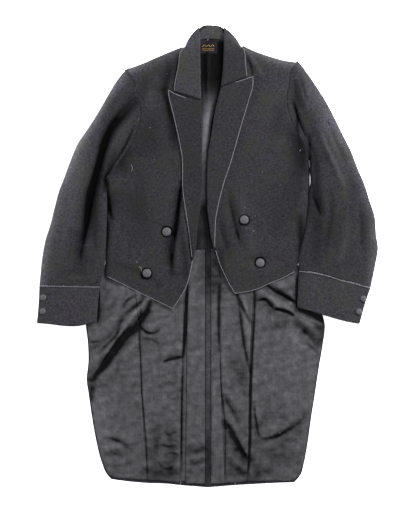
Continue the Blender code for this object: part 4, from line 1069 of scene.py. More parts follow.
def refined(grid: Array, rows: int, columns: int) -> Array:
    """Draw smooth curves through a grid of points both ways, for a finer one.

    Args:
        grid: the points, rows by columns.
        rows: how many rows come back.
        columns: how many columns come back.

    Returns:
        The finer grid.
    """
    for axis, count in ((0, rows), (1, columns)):
        grid = np.moveaxis(grid, axis, 0)
        slope = np.gradient(grid, axis=0)
        at = np.linspace(0, len(grid) - 1, count)
        i = np.minimum(at.astype(int), len(grid) - 2)
        t = (at - i)[:, None, None]
        grid = (grid[i] * (2 * t**3 - 3 * t**2 + 1) + grid[i + 1] * (3 * t**2 - 2 * t**3)
                + slope[i] * (t**3 - 2 * t**2 + t) + slope[i + 1] * (t**3 - t**2))
        grid = np.moveaxis(grid, 0, axis)
    return grid


def cord(name: str, paths: Sequence[Array], radius: float, pitch: float = 3.2, sides: int = 8) -> Object:
    """Make a two-ply twisted cord along each path, as one object.

    Args:
        name: the object's name.
        paths: the points that the cords follow, in mm.
        radius: the cord's radius.
        pitch: the length of one twist.
        sides: how many sides each cord has.

    Returns:
        The object.
    """
    points, faces = [], []
    around = 2 * np.pi * np.arange(sides) / sides
    for path in paths:
        length = np.linalg.norm(np.diff(path, axis=0), axis=1).sum()
        line = resampled(path, np.linspace(0, 1, max(3, round(length))))
        way = np.gradient(line, axis=0)
        way /= np.linalg.norm(way, axis=1)[:, None]
        across = np.cross(way, np.array([0, 0, 1.0]))
        across /= np.maximum(np.linalg.norm(across, axis=1), 1e-9)[:, None]
        above = np.cross(across, way)
        at = np.linspace(0, length, len(line))[:, None]
        size = radius * (1 + 0.16 * np.cos(2 * around[None] + 2 * np.pi * at / pitch))
        size[[0, -1]] *= 0.4
        rings = line[:, None] + size[..., None] * (np.cos(around)[None, :, None] * across[:, None]
                                                   + np.sin(around)[None, :, None] * above[:, None])
        start = sum(len(block) for block in points)
        points.append(rings.reshape(-1, 3))
        faces += (grid_triangles(len(line), sides, closed=True)[:, ::-1] + start).tolist()
        last = start + (len(line) - 1) * sides
        faces += [list(range(start, start + sides)), list(range(last + sides - 1, last - 1, -1))]
    return linked(name, np.concatenate(points), faces)


# Finishes


def linear(colour: str) -> tuple[float, float, float, float]:
    """Turn an sRGB colour into a linear one.

    Args:
        colour: the colour in hex.

    Returns:
        Its linear red, green and blue, and alpha 1.
    """
    parts = [int(colour[i : i + 2], 16) / 255 for i in (1, 3, 5)]
    values = [c / 12.92 if c <= 0.04045 else ((c + 0.055) / 1.055) ** 2.4 for c in parts]
    return values[0], values[1], values[2], 1.0


def add_node(tree: Tree, kind: str, settings: dict | None = None, links: dict | None = None) -> Node:
    """Add a shader node.

    Args:
        tree: the material's nodes.
        kind: the node's type, without the words that all shader nodes start with.
        settings: values by the name or number of an input, or by the name of a property.
        links: the output that feeds each input, by the input's name or number.

    Returns:
        The node.
    """
    made = tree.nodes.new(f"ShaderNode{kind}")
    for key, value in (settings or {}).items():
        if isinstance(key, int) or key in made.inputs:
            made.inputs[key].default_value = value
        else:
            setattr(made, key, value)
    for key, output in (links or {}).items():
        tree.links.new(output, made.inputs[key])
    return made


def start_material(name: str) -> tuple[Material, Tree, Node, bpy.types.NodeSocket]:
    """Start a material.

    Args:
        name: its name.

    Returns:
        The material, its nodes, its shader, and each point's place on the piece.
    """
    made = bpy.data.materials.new(name)
    made.use_nodes = True
    tree = made.node_tree
    return made, tree, tree.nodes["Principled BSDF"], add_node(tree, "TexCoord").outputs["Object"]


def paint_shading(tree: Tree, colour: bpy.types.NodeSocket, reach: float = 4.5, least: float = 0.03) -> None:
    """Paint shade into the cloth's colour where its depth is below 0, and paint highlight where it is above
    0.

    Args:
        tree: the material's nodes.
        colour: the cloth's colour.
        reach: the depth of the darkest cloth and the height of the palest, in mm.
        least: how much of the colour is left at that depth.
    """
    depth = add_node(tree, "Attribute", {"attribute_name": "painted_shading_depth"}).outputs["Fac"]
    span = {"clamp": False, "From Min": -reach, "From Max": reach, "To Min": least, "To Max": 2.0 - least}
    even = add_node(tree, "MapRange", span, {"Value": depth}).outputs["Result"]
    gain = add_node(tree, "Math", {"operation": "MAXIMUM", 1: least}, {0: even}).outputs[0]
    tone_and_painted_shading = add_node(tree, "VectorMath", {"operation": "SCALE"}, {0: colour, "Scale": gain})
    tree.links.new(tone_and_painted_shading.outputs[0], tree.nodes["Principled BSDF"].inputs["Base Color"])


@dataclass(frozen=True)
class WoolBarathea:
    """Fine worsted wool woven in a twill, then milled: matt, with a short nap that lights up at a glance.

    The threads are 0.4 mm apart, too fine to show, so the twill is drawn with ribs 1.3 mm apart. The nap
    gives soft flecks a few mm wide, and age a faint drift from blue-black to green-black. Sizes are in mm.
    """

    dark: str = "#121114"
    light: str = "#2f2e33"
    aged: str = "#24261f"
    twill: float = 1.3
    fleck: float = 4.5
    drift: float = 34.0
    # Wool has little mirror gloss. Its nap gives a faint cool bloom where it turns away from the eye
    roughness: float = 0.92
    gloss: float = 0.05
    bloom: float = 0.35
    bloom_roughness: float = 0.22
    bloom_tint: str = "#aaa6d2"

    def material(self) -> Material:
        """Make the material.

        Returns:
            The material.
        """
        made, tree, shader, place = start_material("wool_barathea_milled")
        fleck = add_node(tree, "TexNoise", {"Scale": 1 / (self.fleck * MM), "Detail": 4.0, "Roughness": 0.7},
                         {"Vector": place})
        drift = add_node(tree, "TexNoise", {"Scale": 1 / (self.drift * MM), "Detail": 2.0},
                         {"Vector": place})
        nap = add_node(tree, "Mix", {"data_type": "RGBA", 6: linear(self.dark), 7: linear(self.light)},
                       {0: add_node(tree, "MapRange", {"From Min": 0.3, "From Max": 0.7},
                                    {"Value": fleck.outputs["Fac"]}).outputs["Result"]})
        share = add_node(tree, "MapRange", {"From Min": 0.42, "From Max": 0.72, "To Max": 0.55},
                         {"Value": drift.outputs["Fac"]})
        cloth = add_node(tree, "Mix", {"data_type": "RGBA", 7: linear(self.aged)},
                         {0: share.outputs["Result"], 6: nap.outputs[2]})
        twill = add_node(tree, "TexWave", {"bands_direction": "DIAGONAL", "Scale": 1 / (self.twill * MM) / 3,
                                           "Distortion": 1.2, "Detail": 1.0}, {"Vector": place})
        ribs = add_node(tree, "Bump", {"Strength": 0.25, "Distance": 0.0002},
                        {"Height": twill.outputs["Fac"]})
        bumps = add_node(tree, "Bump", {"Strength": 0.5, "Distance": 0.0006},
                         {"Height": fleck.outputs["Fac"], "Normal": ribs.outputs["Normal"]})
        paint_shading(tree, cloth.outputs[2])
        tree.links.new(bumps.outputs["Normal"], shader.inputs["Normal"])
        shader.inputs["Roughness"].default_value = self.roughness
        shader.inputs["Specular IOR Level"].default_value = self.gloss
        shader.inputs["Sheen Weight"].default_value = self.bloom
        shader.inputs["Sheen Roughness"].default_value = self.bloom_roughness
        shader.inputs["Sheen Tint"].default_value = linear(self.bloom_tint)
        return made


@dataclass(frozen=True)
class Satin:
    """Woven satin: long floats along the cloth give a soft sheen that runs across its folds.

    The threads are 0.15 mm apart, too fine to show, and are drawn as streaks 2.6 mm apart along Y. Roughness
    changes a little in patches, so that the sheen breaks up as it does on cloth that was worn and pressed.
    """

    name: str = "satin_woven_grey"
    dark: str = "#2d2d2f"
    light: str = "#464649"
    # colour of the painted shade inside the neck, or none
    neck: str | None = None
    roughness: tuple[float, float] = (0.5, 0.62)
    gloss: float = 0.06
    streak: float = 2.6
    patch: float = 11.0

    def material(self) -> Material:
        """Make the material.

        Returns:
            The material.
        """
        made, tree, shader, place = start_material(self.name)
        along = add_node(tree, "Mapping", {"Scale": (1.0, 0.06, 1.0)}, {"Vector": place})
        streak = add_node(tree, "TexNoise", {"Scale": 1 / (self.streak * MM), "Detail": 3.0},
                          {"Vector": along.outputs["Vector"]})
        tone_and_painted_shading = add_node(tree, "TexNoise", {"Scale": 1 / (self.patch * MM), "Detail": 5.0, "Roughness": 0.66},
                        {"Vector": place})
        both_ways = add_node(tree, "Math", {"operation": "MULTIPLY_ADD", 1: 0.35},
                             {0: streak.outputs["Fac"], 2: tone_and_painted_shading.outputs["Fac"]})
        share = add_node(tree, "MapRange", {"From Min": 0.42, "From Max": 0.98},
                         {"Value": both_ways.outputs[0]})
        colour = add_node(tree, "Mix", {"data_type": "RGBA", 6: linear(self.dark), 7: linear(self.light)},
                          {0: share.outputs["Result"]}).outputs[2]
        # painted shade: from y 0.33 m to 0.41 m the colour turns into the neck colour
        if self.neck:
            height = add_node(tree, "SeparateXYZ", {}, {"Vector": place}).outputs["Y"]
            inside = add_node(tree, "MapRange", {"From Min": 0.33, "From Max": 0.41}, {"Value": height})
            colour = add_node(tree, "Mix", {"data_type": "RGBA", 7: linear(self.neck)},
                              {0: inside.outputs["Result"], 6: colour}).outputs[2]
        gloss = add_node(tree, "MapRange", {"To Min": self.roughness[0], "To Max": self.roughness[1]},
                         {"Value": tone_and_painted_shading.outputs["Fac"]})
        threads = add_node(tree, "Bump", {"Strength": 0.8, "Distance": 0.0011},
                           {"Height": both_ways.outputs[0]})
        paint_shading(tree, colour)
        shader.inputs["Specular IOR Level"].default_value = self.gloss
        tree.links.new(gloss.outputs["Result"], shader.inputs["Roughness"])
        tree.links.new(threads.outputs["Normal"], shader.inputs["Normal"])
        return made


@dataclass(frozen=True)
class Thread:
    """Spun or twisted thread: matt, each strand a little lighter or darker along its length."""

    name: str
    dark: str
    light: str
    roughness: float = 0.75
    metallic: float = 0.0
    fleck: float = 2.2

    def material(self) -> Material:
        """Make the material.

        Returns:
            The material.
        """
        made, tree, shader, place = start_material(self.name)
        fleck = add_node(tree, "TexNoise", {"Scale": 1 / (self.fleck * MM), "Detail": 3.0},
                         {"Vector": place})
        colour = add_node(tree, "Mix", {"data_type": "RGBA", 6: linear(self.dark), 7: linear(self.light)},
                          {0: fleck.outputs["Fac"]})
        strands = add_node(tree, "Bump", {"Strength": 0.4, "Distance": 0.0002},
                           {"Height": fleck.outputs["Fac"]})
        tree.links.new(colour.outputs[2], shader.inputs["Base Color"])
        tree.links.new(strands.outputs["Normal"], shader.inputs["Normal"])
        shader.inputs["Roughness"].default_value = self.roughness
        shader.inputs["Metallic"].default_value = self.metallic
        return made


class Cloths:
    """The materials of the coat, each made once."""

    def __init__(self) -> None:
        """Make them."""
        self.wool = WoolBarathea().material()
        self.satin = Satin().material()
        # The same satin, with painted shade inside the neck, where its colour turns near-black
        self.body = Satin("satin_woven_body_lining", "#2a2a2d", "#3f3f43", "#030303", gloss=0.05).material()
        # Black satin with a little more gloss, so the label stands out from the lining round it
        self.label = Satin("satin_woven_black_label", "#0c0c0d", "#141415", gloss=0.1).material()
        # Twisted worsted cord, paler than the wool: it draws a fine grey line round every edge
        self.edging = Thread("twisted_cord_grey", "#403e43", "#646267").material()
        # Worsted thread wound over a mould: matt, a shade paler than the wool
        self.button = Thread("thread_wound_button_grey", "#2c2b2f", "#454348").material()
        # Gilt foil wound on a cotton core: half metal, so it glints and still shows thread between
        self.gold = Thread("gilt_thread", "#5f4525", "#b8935c", 0.45, 0.5).material()
        # Loose cotton fibre: pale specks that show the cloth has been handled
        self.lint = Thread("lint_fibre_pale", "#6f6d70", "#9a989b").material()


def hand_over(obj: Object, material: Material, slot: Slot, node: str | None = None) -> None:
    """Give a piece its finish and its place in the frame.

    Args:
        obj: the piece.
        material: its finish.
        slot: the record's slot for the finish; not used.
        node: the solid that it stands for.
    """
    obj.data.materials.append(material)
    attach(obj, "root")
    if node:
        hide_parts(node)
    cut = CUTS.get(node or obj.name)
    if cut:
        list(cut.rests_on)
    log.info("%s: %d faces", obj.name, len(obj.data.polygons))


# The coat, from the table up


@dataclass
class WoolBack:
    """The back, side body and tail skirt of each side, flat on the table."""

    cloths: Cloths
    thickness: float = 1.6
    seam: float = 0.15
    spacing: float = 9.0
    shoulder_inset: float = 3.4
    armhole_inset: float = 1.0
    side_inset: float = 2.8
    waist_clear: float = 8.0
    corner: dict[Side, tuple[float, float]] = field(
        default_factory=lambda: {Side.RIGHT: (-176, 431), Side.LEFT: (188, 441)})

    def lay(self, name: str, ring: Array) -> None:
        """Make one flat piece and hand it over.

        Args:
            name: the solid that it stands for.
            ring: its outline.
        """
        obj = panel(f"{name}_cloth", drawn_in(ring, self.seam), lambda p: np.full(len(p), self.thickness),
                    self.thickness, self.spacing, (1.2,), floor=lambda p: np.zeros(len(p)))
        hand_over(obj, self.cloths.wool, Slot.WOOL, name)

    def build(self, side: Side) -> None:
        """Make one side's back, side body and skirt.

        Args:
            side: the wearer's side.
        """
        inward = -side.sign
        shoulder = SHOULDER[side][::inward][1:-1] - (0, self.shoulder_inset)
        armhole = shifted(curve(ARMHOLE[side], 8.0), self.armhole_inset * inward)
        seam = SIDE_BACK_SEAM[side]
        split = np.linalg.norm(armhole - seam[0], axis=1).argmin()
        seam = np.concatenate([armhole[split : split + 1], seam[1:]])
        corner = np.array([self.corner[side]], float)
        start = np.linalg.norm(armhole - corner, axis=1).argmin() + 2
        fold = SIDE[side] + (self.side_inset * inward, 0)
        fold = fold[fold[:, 1] > WAIST_SEAM[side][-1][1] + self.waist_clear]
        neck, hem, waist = BACK_NECK[side], TAIL_HEM_CENTRE[side], WAIST_SEAM[side]
        back = outline(neck, np.concatenate([neck[-1:], shoulder, corner]),
                       np.concatenate([corner, armhole[start : split + 1]]), seam, SKIRT_SEAM[side], hem,
                       [hem[-1], neck[0]], spacing=8.0)
        self.lay(f"back_{side.value}", back)
        body = outline(seam[::-1], np.concatenate([armhole[split:-1], fold[:1]]), fold,
                       [fold[-1], waist[-1]], waist[::-1], spacing=8.0)
        self.lay(f"side_body_{side.value}", body)
        skirt = outline(waist, TAIL_SIDE[side], HEM[side], SKIRT_SEAM[side][::-1], spacing=6.0)
        self.lay(f"skirt_{side.value}", skirt)


@dataclass
class BodyLining:
    """The lining inside the back, one sheet with a pleat down its middle, its hem over the tail linings."""

    cloths: Cloths
    base: float = 1.9
    top: float = 2.9
    thickness: float = 1.0
    spacing: float = 4.5
    inset: float = 10.0
    lap: float = 2.0
    lap_from: float = 48.0
    lap_run: float = 12.0
    pleat: tuple[float, float] = (-4.5, 6.5)
    pleat_rise: float = 1.3
    shoulder: dict[Side, list[tuple[float, float]]] = field(default_factory=lambda: {
        Side.RIGHT: [(-38, 488), (-60, 472), (-160, 422)], Side.LEFT: [(180, 428), (80, 470), (58, 488)]})
    neck: tuple = ((58, 488), (30, 499), (9, 501), (-10, 499), (-38, 488))
    hem: tuple = ((-225, 22), (0, 17), (205, 22))

    def height(self, points: Array) -> Array:
        """Give the height of the lining's upper face.

        Args:
            points: the points, in plan.

        Returns:
            The height at each point, in mm.
        """
        x, y = points.T
        lap = self.lap * eased((self.lap_from - y) / self.lap_run)
        low, high = self.pleat
        pleat = self.pleat_rise * eased((x - low) / 1.6) * eased((high - x) / 4.0)
        pleat *= eased((y - 25.0) / 30.0)
        loose = ripples(points, 60.0, 0.18, 21, 2.5) * eased((y - 40.0) / 30.0)
        hidden = eased((abs(x) - 60.0) / 30.0)
        return self.top + lap + pleat + np.clip(loose + 0.2, 0, None) * (1 - hidden)

    def depth(self, points: Array) -> Array:
        """Give the depth that the lining's colour is painted by: painted shade low down where the lapels
        shadow it, painted highlight and shade along its pleat, with a random mottle.
        """
        lapel_shadow = -3.4 * eased((145.0 - points[:, 1]) / 40.0)
        return lapel_shadow + relief(points, BODY_PAINTED_SHADING) + ripples(points, 26.0, 0.4, 43, 3.0)

    def build(self) -> None:
        """Make the lining."""
        lines = {}
        for side in Side:
            armhole = curve(ARMHOLE[side], 30.0)
            fold = SIDE[side][SIDE[side][:, 1] > 20.0]
            lines[side] = np.concatenate([armhole[2:-1], fold[1:]]) - (self.inset * side.sign, 0)
        right, left = lines[Side.RIGHT], lines[Side.LEFT]
        ring = outline([*self.shoulder[Side.RIGHT], right[0]], right, [right[-1], *self.hem, left[-1]],
                       left[::-1], [left[0], *self.shoulder[Side.LEFT]], self.neck, spacing=6.0)
        obj = panel("body_lining", ring, self.height, self.thickness, self.spacing,
                    floor=lambda p: np.full(len(p), self.base), depth=self.depth)
        hand_over(obj, self.cloths.body, Slot.BODY, "back_lining")


@dataclass
class TailLinings:
    """The satin linings of the tails: outer and inner panels, the facings beside the vent and the pleat."""

    cloths: Cloths
    lining: float = 1.0
    wool: float = 1.6
    base: float = 1.9
    seam: float = 0.15
    spacing: float = 3.0
    inset: float = 3.0
    hem_rise: float = 6.0
    corner_clear: float = 4.0
    top: float = 27.0
    pleat_step: float = 1.5
    pleat_reach: float = 8.0
    facing_reach: float = 6.0
    facing_hem: float = -531.0
    vent_hem: float = -536.0
    vent: tuple[float, float] = (-5.0, 8.3)
    facing_fold: tuple = ((-44, 27), (-46, -110), (-48, -336), (-50, -529))
    pleat_under: tuple = (((-61, -20), (-63, -250), (-70, -524)), ((-46, -524), (-42, -250), (-41, -20)))
    seam_dip: float = 0.9
    seam_width: float = 1.6

    def lay(self, name: str, ring: Array, thickness: float, material: Material, slot: Slot,
            lifted: Sequence[tuple[Array, float]] = ()) -> None:
        """Make one panel and hand it over.

        Args:
            name: the solid that it stands for.
            ring: its outline.
            thickness: the cloth's thickness, in mm.
            material: its finish.
            slot: the record's slot.
            lifted: paths near which it lies over another layer, and how far in it stays lifted.
        """
        ring = drawn_in(ring, self.seam)
        closed = np.concatenate([ring, ring[:1]])

        def height(points: Array) -> Array:
            """Give the height of the panel's upper face.

            Args:
                points: the points, in plan.

            Returns:
                The height at each point, in mm.
            """
            lift = np.zeros(len(points))
            for path, reach in lifted:
                lift = np.maximum(lift, 1 - eased((abs(nearest(points, path)[0]) - reach) / 14.0))
            lift *= eased((8.0 - points[:, 1]) / 24.0)
            rim = np.exp(-((nearest(points, closed)[0] / self.seam_width) ** 2))
            return (TAIL.height(points) + self.pleat_step * lift + thickness - self.lining
                    - self.seam_dip * rim)

        obj = panel(f"{name}_cloth", ring, height, thickness, self.spacing,
                    floor=lambda p: np.full(len(p), self.base), depth=TAIL.depth)
        hand_over(obj, material, slot, name)

    def build(self) -> None:
        """Make both tails' linings."""
        satin, wool = (self.cloths.satin, Slot.SATIN), (self.cloths.wool, Slot.WOOL)
        for side in Side:
            sign, seam, edge = side.sign, LINING_SEAM[side], LINING_EDGE[side]
            inset = TAIL_SIDE[side] - (self.inset * sign, 0)
            inset = inset[inset[:, 1] > HEM[side][0][1] + self.corner_clear]
            hem = HEM[side] + (-self.inset * sign, self.hem_rise)
            out, seam_out, edge_out = sign * hem[:, 0], sign * seam[-1][0], sign * edge[-1][0]
            outer_hem = hem[out > seam_out + self.corner_clear]
            inner_hem = hem[(out < seam_out - self.corner_clear) & (out > edge_out + self.corner_clear)]
            outer = outline(inset, [inset[-1], *outer_hem, seam[-1]], seam[::-1], [seam[0], inset[0]],
                            spacing=3.0)
            self.lay(f"tail_lining_outer_{side.value}", outer, self.lining, *satin)
            inner = outline(seam, [seam[-1], *inner_hem, edge[-1]], edge[::-1], [edge[0], seam[0]],
                            spacing=3.0)
            lifted = [(edge, self.pleat_reach)] if side is Side.RIGHT else []
            self.lay(f"tail_lining_inner_{side.value}", inner, self.lining, *satin, lifted)
        low, high = self.vent
        fold = np.array(self.facing_fold, float)
        facing = between(fold, [(low, self.facing_hem), (low, self.top)], 3.0)
        self.lay("tail_facing_r", facing, self.lining, *satin, [(fold, self.facing_reach)])
        band = between([(low, self.top), (low, self.vent_hem)], [(high, self.vent_hem), (high, self.top)],
                       3.0)
        self.lay("vent_facing", band, self.wool, *wool)
        facing = between([(high, self.top), (high, self.facing_hem)], LINING_EDGE[Side.LEFT][::-1], 3.0)
        self.lay("tail_facing_l", facing, self.lining, *satin)
        under = panel("pleat_under_cloth", between(*self.pleat_under, 5.0),
                      lambda p: np.full(len(p), self.base + self.lining), self.lining, 2.4, (1.2,),
                      floor=lambda p: np.full(len(p), self.base), depth=TAIL.depth)
        hand_over(under, *satin, "pleat_under_r")


@dataclass
class Fronts:
    """The foreparts, each from shoulder and neck to its cutaway bottom edge, and their edge cords."""

    cloths: Cloths
    thickness: float = 2.0
    seam: float = 0.15
    spacing: float = 3.0
    roll_inset: float = 3.9
    edge_inset: float = 2.8
    cord_radius: float = 0.8
    cord_drop: float = 0.5

    def build(self, side: Side) -> None:
        """Make one front.

        Args:
            side: the wearer's side.
        """
        roll = ROLL[side] + (self.roll_inset * side.sign, 0)
        roll[-1] = FRONT_EDGE[side][0] + (self.edge_inset * side.sign, 0)
        front = np.concatenate([roll[-1:], FRONT_EDGE[side][1:]])
        neckline = np.concatenate([NECKLINE[side][:-1], roll[:1]])
        shoulder = SHOULDER[side][:: side.sign]
        ring = outline(shoulder, neckline, roll, front, BOTTOM[side][::-1], SIDE[side][::-1],
                       ARMHOLE[side][::-1], spacing=3.0)
        obj = panel(f"forepart_{side.value}_cloth", drawn_in(ring, self.seam), FRONT.height, self.thickness,
                    self.spacing, floor=GROUND.floor, depth=FRONT.depth)
        hand_over(obj, self.cloths.wool, Slot.WOOL, f"forepart_{side.value}")
        self.edge(side, front)

    def edge(self, side: Side, front: Array) -> None:
        """Sew the grey cord along a front's cutaway and bottom edges.

        Args:
            side: the front's side.
            front: its cutaway edge.
        """
        plan = np.concatenate([curve(front, 3.0)[1:], curve(BOTTOM[side][::-1], 3.0)[1:-2]])
        height = FRONT.height(plan) - self.cord_drop
        obj = cord(f"front_edge_cord_{side.value}", [np.column_stack([plan, height])], self.cord_radius)
        hand_over(obj, self.cloths.edging, Slot.BUTTON)


@dataclass
class Lapels:
    """The lapels, each turned back on its front along the roll line, with a corded edge and gorge."""

    cloths: Cloths
    thickness: float = 2.0
    clear: float = 0.8
    spring: float = 1.2
    turn: float = 2.6
    drop: float = 2.2
    least_width: float = 5.0
    gorge_share: float = 0.12
    peak_share: float = 0.22
    stations: int = 150
    columns: int = 22
    # painted shade over each lapel, as a depth
    painted_shading: dict[Side, float] = field(default_factory=lambda: {Side.RIGHT: -0.9, Side.LEFT: -0.3})
    peak: dict[Side, float] = field(default_factory=lambda: {Side.RIGHT: 5.0, Side.LEFT: 2.0})
    cord_radius: float = 0.8

    def build(self, side: Side) -> None:
        """Make one lapel.

        Args:
            side: the wearer's side.
        """
        shares = np.linspace(0, 1, self.stations)
        roll, edge = curve(ROLL[side], shares=shares), curve(LAPEL_EDGE[side], shares=shares)
        width = np.linalg.norm(edge - roll, axis=1)
        turn = np.minimum(self.turn / width, 0.4)[:, None]
        across = turn + (1 - turn) * np.linspace(0, 1, self.columns)[None]
        across = np.concatenate([np.zeros_like(turn), turn * 0.35, across], axis=1)
        plan = roll[:, None] * (1 - across[..., None]) + edge[:, None] * across[..., None]
        bend = curve(GORGE[side], shares=across[0]) - plan[0]
        plan += bend[None] * np.clip(1 - shares / self.gorge_share, 0, 1)[:, None, None]
        height = FRONT.height(plan.reshape(-1, 2)).reshape(plan.shape[:2]) + self.clear + self.thickness
        height += self.spring * across
        height += self.peak[side] * across**2 * np.exp(-((shares[:, None] / self.peak_share) ** 2))
        height[:, 0] -= self.drop
        height[:, 1] -= 0.45 * self.drop
        grid = np.dstack([plan, height])[width > self.least_width]
        rim = np.concatenate([grid[0, self.columns // 2 :], grid[1:, -1]]) - (0, 0, 0.5)
        if side is Side.RIGHT:
            grid = grid[:, ::-1]
        obj = strip(f"lapel_{side.value}_cloth", grid, self.thickness,
                    depth=np.full(grid.shape[:2], self.painted_shading[side]))
        hand_over(obj, self.cloths.wool, Slot.WOOL, f"lapel_{side.value}")
        edging = cord(f"lapel_edge_cord_{side.value}", [rim], self.cord_radius)
        hand_over(edging, self.cloths.edging, Slot.BUTTON)


@dataclass
class Collar:
    """The collar: a fall on each side, folded under at the shoulder, flat behind, and the stand inside."""

    cloths: Cloths
    thickness: float = 1.8
    clear: float = 0.6
    turn: float = 2.4
    back_turn: float = 3.0
    bulge: float = 6.0
    # how much paler or darker each fall, the collar's back and the stand are drawn, as depths
    tone_shift: dict[Side, float] = field(default_factory=lambda: {Side.RIGHT: 1.6, Side.LEFT: -0.6})
    back_paler: float = 4.0
    stand_paler: float = 4.0
    across: tuple = (0.0, 0.07, 0.3, 0.65, 1.0)
    angles: tuple = (80, 45, 0, -45, -90)
    cord_radius: float = 0.7
    rows: int = 90
    columns: int = 26
    # how far round the neck the fall lies on its front, and how far its leaf edge is corded
    on_front: float = 0.36
    corded: float = 0.42
    # x and y at the roll, x and y at the leaf edge, heights at the roll and at the leaf edge
    front: dict[Side, list] = field(default_factory=lambda: {
        Side.RIGHT: [(-14, 362.6, -77, 383, 18.5, 16.5), (-15, 400, -74, 406, 19, 16.5),
                     (-15.5, 440, -67, 440, 19, 16), (-16, 475, -64, 466, 18, 13.5),
                     (-16, 505, -58, 480, 16, 11)],
        Side.LEFT: [(31, 392.6, 92, 417, 18.5, 16.5), (35, 425, 89, 442, 19, 16.5),
                    (37, 460, 88, 462, 19, 15), (38, 485, 86, 474, 18, 13), (38, 508, 84, 482, 16, 11)]})
    fold: dict[Side, tuple] = field(default_factory=lambda: {
        Side.RIGHT: (-19, 529, -49, 487, 14, 8), Side.LEFT: (39, 529, 76, 487, 14, 8)})
    back: dict[Side, list] = field(default_factory=lambda: {
        Side.RIGHT: [(-11, 535.5, -30, 484), (1.3, 538, 1.3, 483)],
        Side.LEFT: [(27, 535.5, 50, 484), (1.7, 538, 1.7, 483)]})
    # x and y at the roll, x and y at the neck seam, heights at the roll and at the seam
    stand: tuple = (
        (-20, 430, -35, 427, 13, 10), (-20.5, 470, -37, 460, 13, 9), (-20, 500, -34, 485, 11.5, 7.5),
        (-13, 522, -24, 499, 9, 6), (-3, 532, -9, 504, 7.5, 5), (9, 535, 9, 505, 7.2, 5),
        (22, 533, 27, 504, 7.5, 5), (34, 524, 44, 498, 9, 6), (43, 503, 57, 484, 11.5, 7.5),
        (43, 475, 57, 464, 13, 9), (41, 440, 54, 436, 13, 10))

    def build(self, side: Side) -> None:
        """Make one side's fall.

        Args:
            side: the wearer's side.
        """
        across = np.array(self.across)
        rows = []
        for x, y, leaf_x, leaf_y, high, low in self.front[side]:
            plan = np.outer(1 - across, (x, y)) + np.outer(across, (leaf_x, leaf_y))
            least = FRONT.height(plan) + self.clear + self.thickness
            height = np.maximum(high * (1 - across) + low * across, least)
            height[0] -= self.turn
            rows.append(np.column_stack([plan, height]))
        x, y, leaf_x, leaf_y, high, low = self.fold[side]
        fold = np.outer(1 - across, (x, y)) + np.outer(across, (leaf_x, leaf_y))
        along = np.array([leaf_x - x, leaf_y - y]) / math.hypot(leaf_x - x, leaf_y - y)
        outward = np.array([along[1], -along[0]]) * -side.sign
        top = high * (1 - across) + low * across
        for angle in np.radians(self.angles):
            bulge = self.bulge * np.sqrt(np.sin(np.pi * (0.02 + 0.93 * across)))[:, None]
            rows.append(np.column_stack([fold + outward * bulge * math.cos(angle),
                                         top / 2 * (1 + math.sin(angle))]))
        for x, y, leaf_x, leaf_y in self.back[side]:
            plan = np.outer(1 - across, (x, y)) + np.outer(across, (leaf_x, leaf_y))
            rows.append(np.column_stack([plan, np.where(across == 0, self.back_turn, 0.0)]))
        grid = refined(np.array(rows), self.rows, self.columns)
        grid[..., 2] = np.maximum(grid[..., 2], 0.02)
        shares = np.linspace(0, 1, self.rows)
        lying = shares < self.on_front
        plan = grid[lying][..., :2].reshape(-1, 2)
        least = FRONT.height(plan).reshape(lying.sum(), -1) + self.clear + self.thickness
        fades = np.clip(np.linspace(0, 1, self.columns) * 8, 0, 1)
        grid[lying, :, 2] = np.maximum(grid[lying, :, 2], least * fades)
        rim = grid[shares < self.corded, -1] - (0, 0, 0.5)
        if side is Side.LEFT:
            grid = grid[:, ::-1]
        tone_and_painted_shading = self.tone_shift[side] + self.back_paler * eased((shares - 0.2) / 0.35)
        obj = strip(f"collar_{side.value}_cloth", grid, self.thickness,
                    depth=np.tile(tone_and_painted_shading[:, None], self.columns))
        hand_over(obj, self.cloths.wool, Slot.WOOL, f"collar_{side.value}")
        edging = cord(f"collar_edge_cord_{side.value}", [rim], self.cord_radius)
        hand_over(edging, self.cloths.edging, Slot.BUTTON)

    def build_stand(self) -> None:
        """Make the stand, with the seam down its middle."""
        across = np.array([0.0, 0.5, 1.0])
        rows = [np.outer(1 - across, (x, y, high)) + np.outer(across, (seam_x, seam_y, low))
                for x, y, seam_x, seam_y, high, low in self.stand]
        grid = refined(np.array(rows), 120, 14)[:, ::-1]
        middle = np.exp(-(((grid[..., 0] - 7.0) / 1.2) ** 2)) * (grid[..., 1] > 500)
        grid[..., 2] -= 0.8 * middle
        obj = strip("collar_stand_cloth", grid, self.thickness,
                    depth=np.full(grid.shape[:2], self.stand_paler))
        hand_over(obj, self.cloths.wool, Slot.WOOL, "collar_stand")


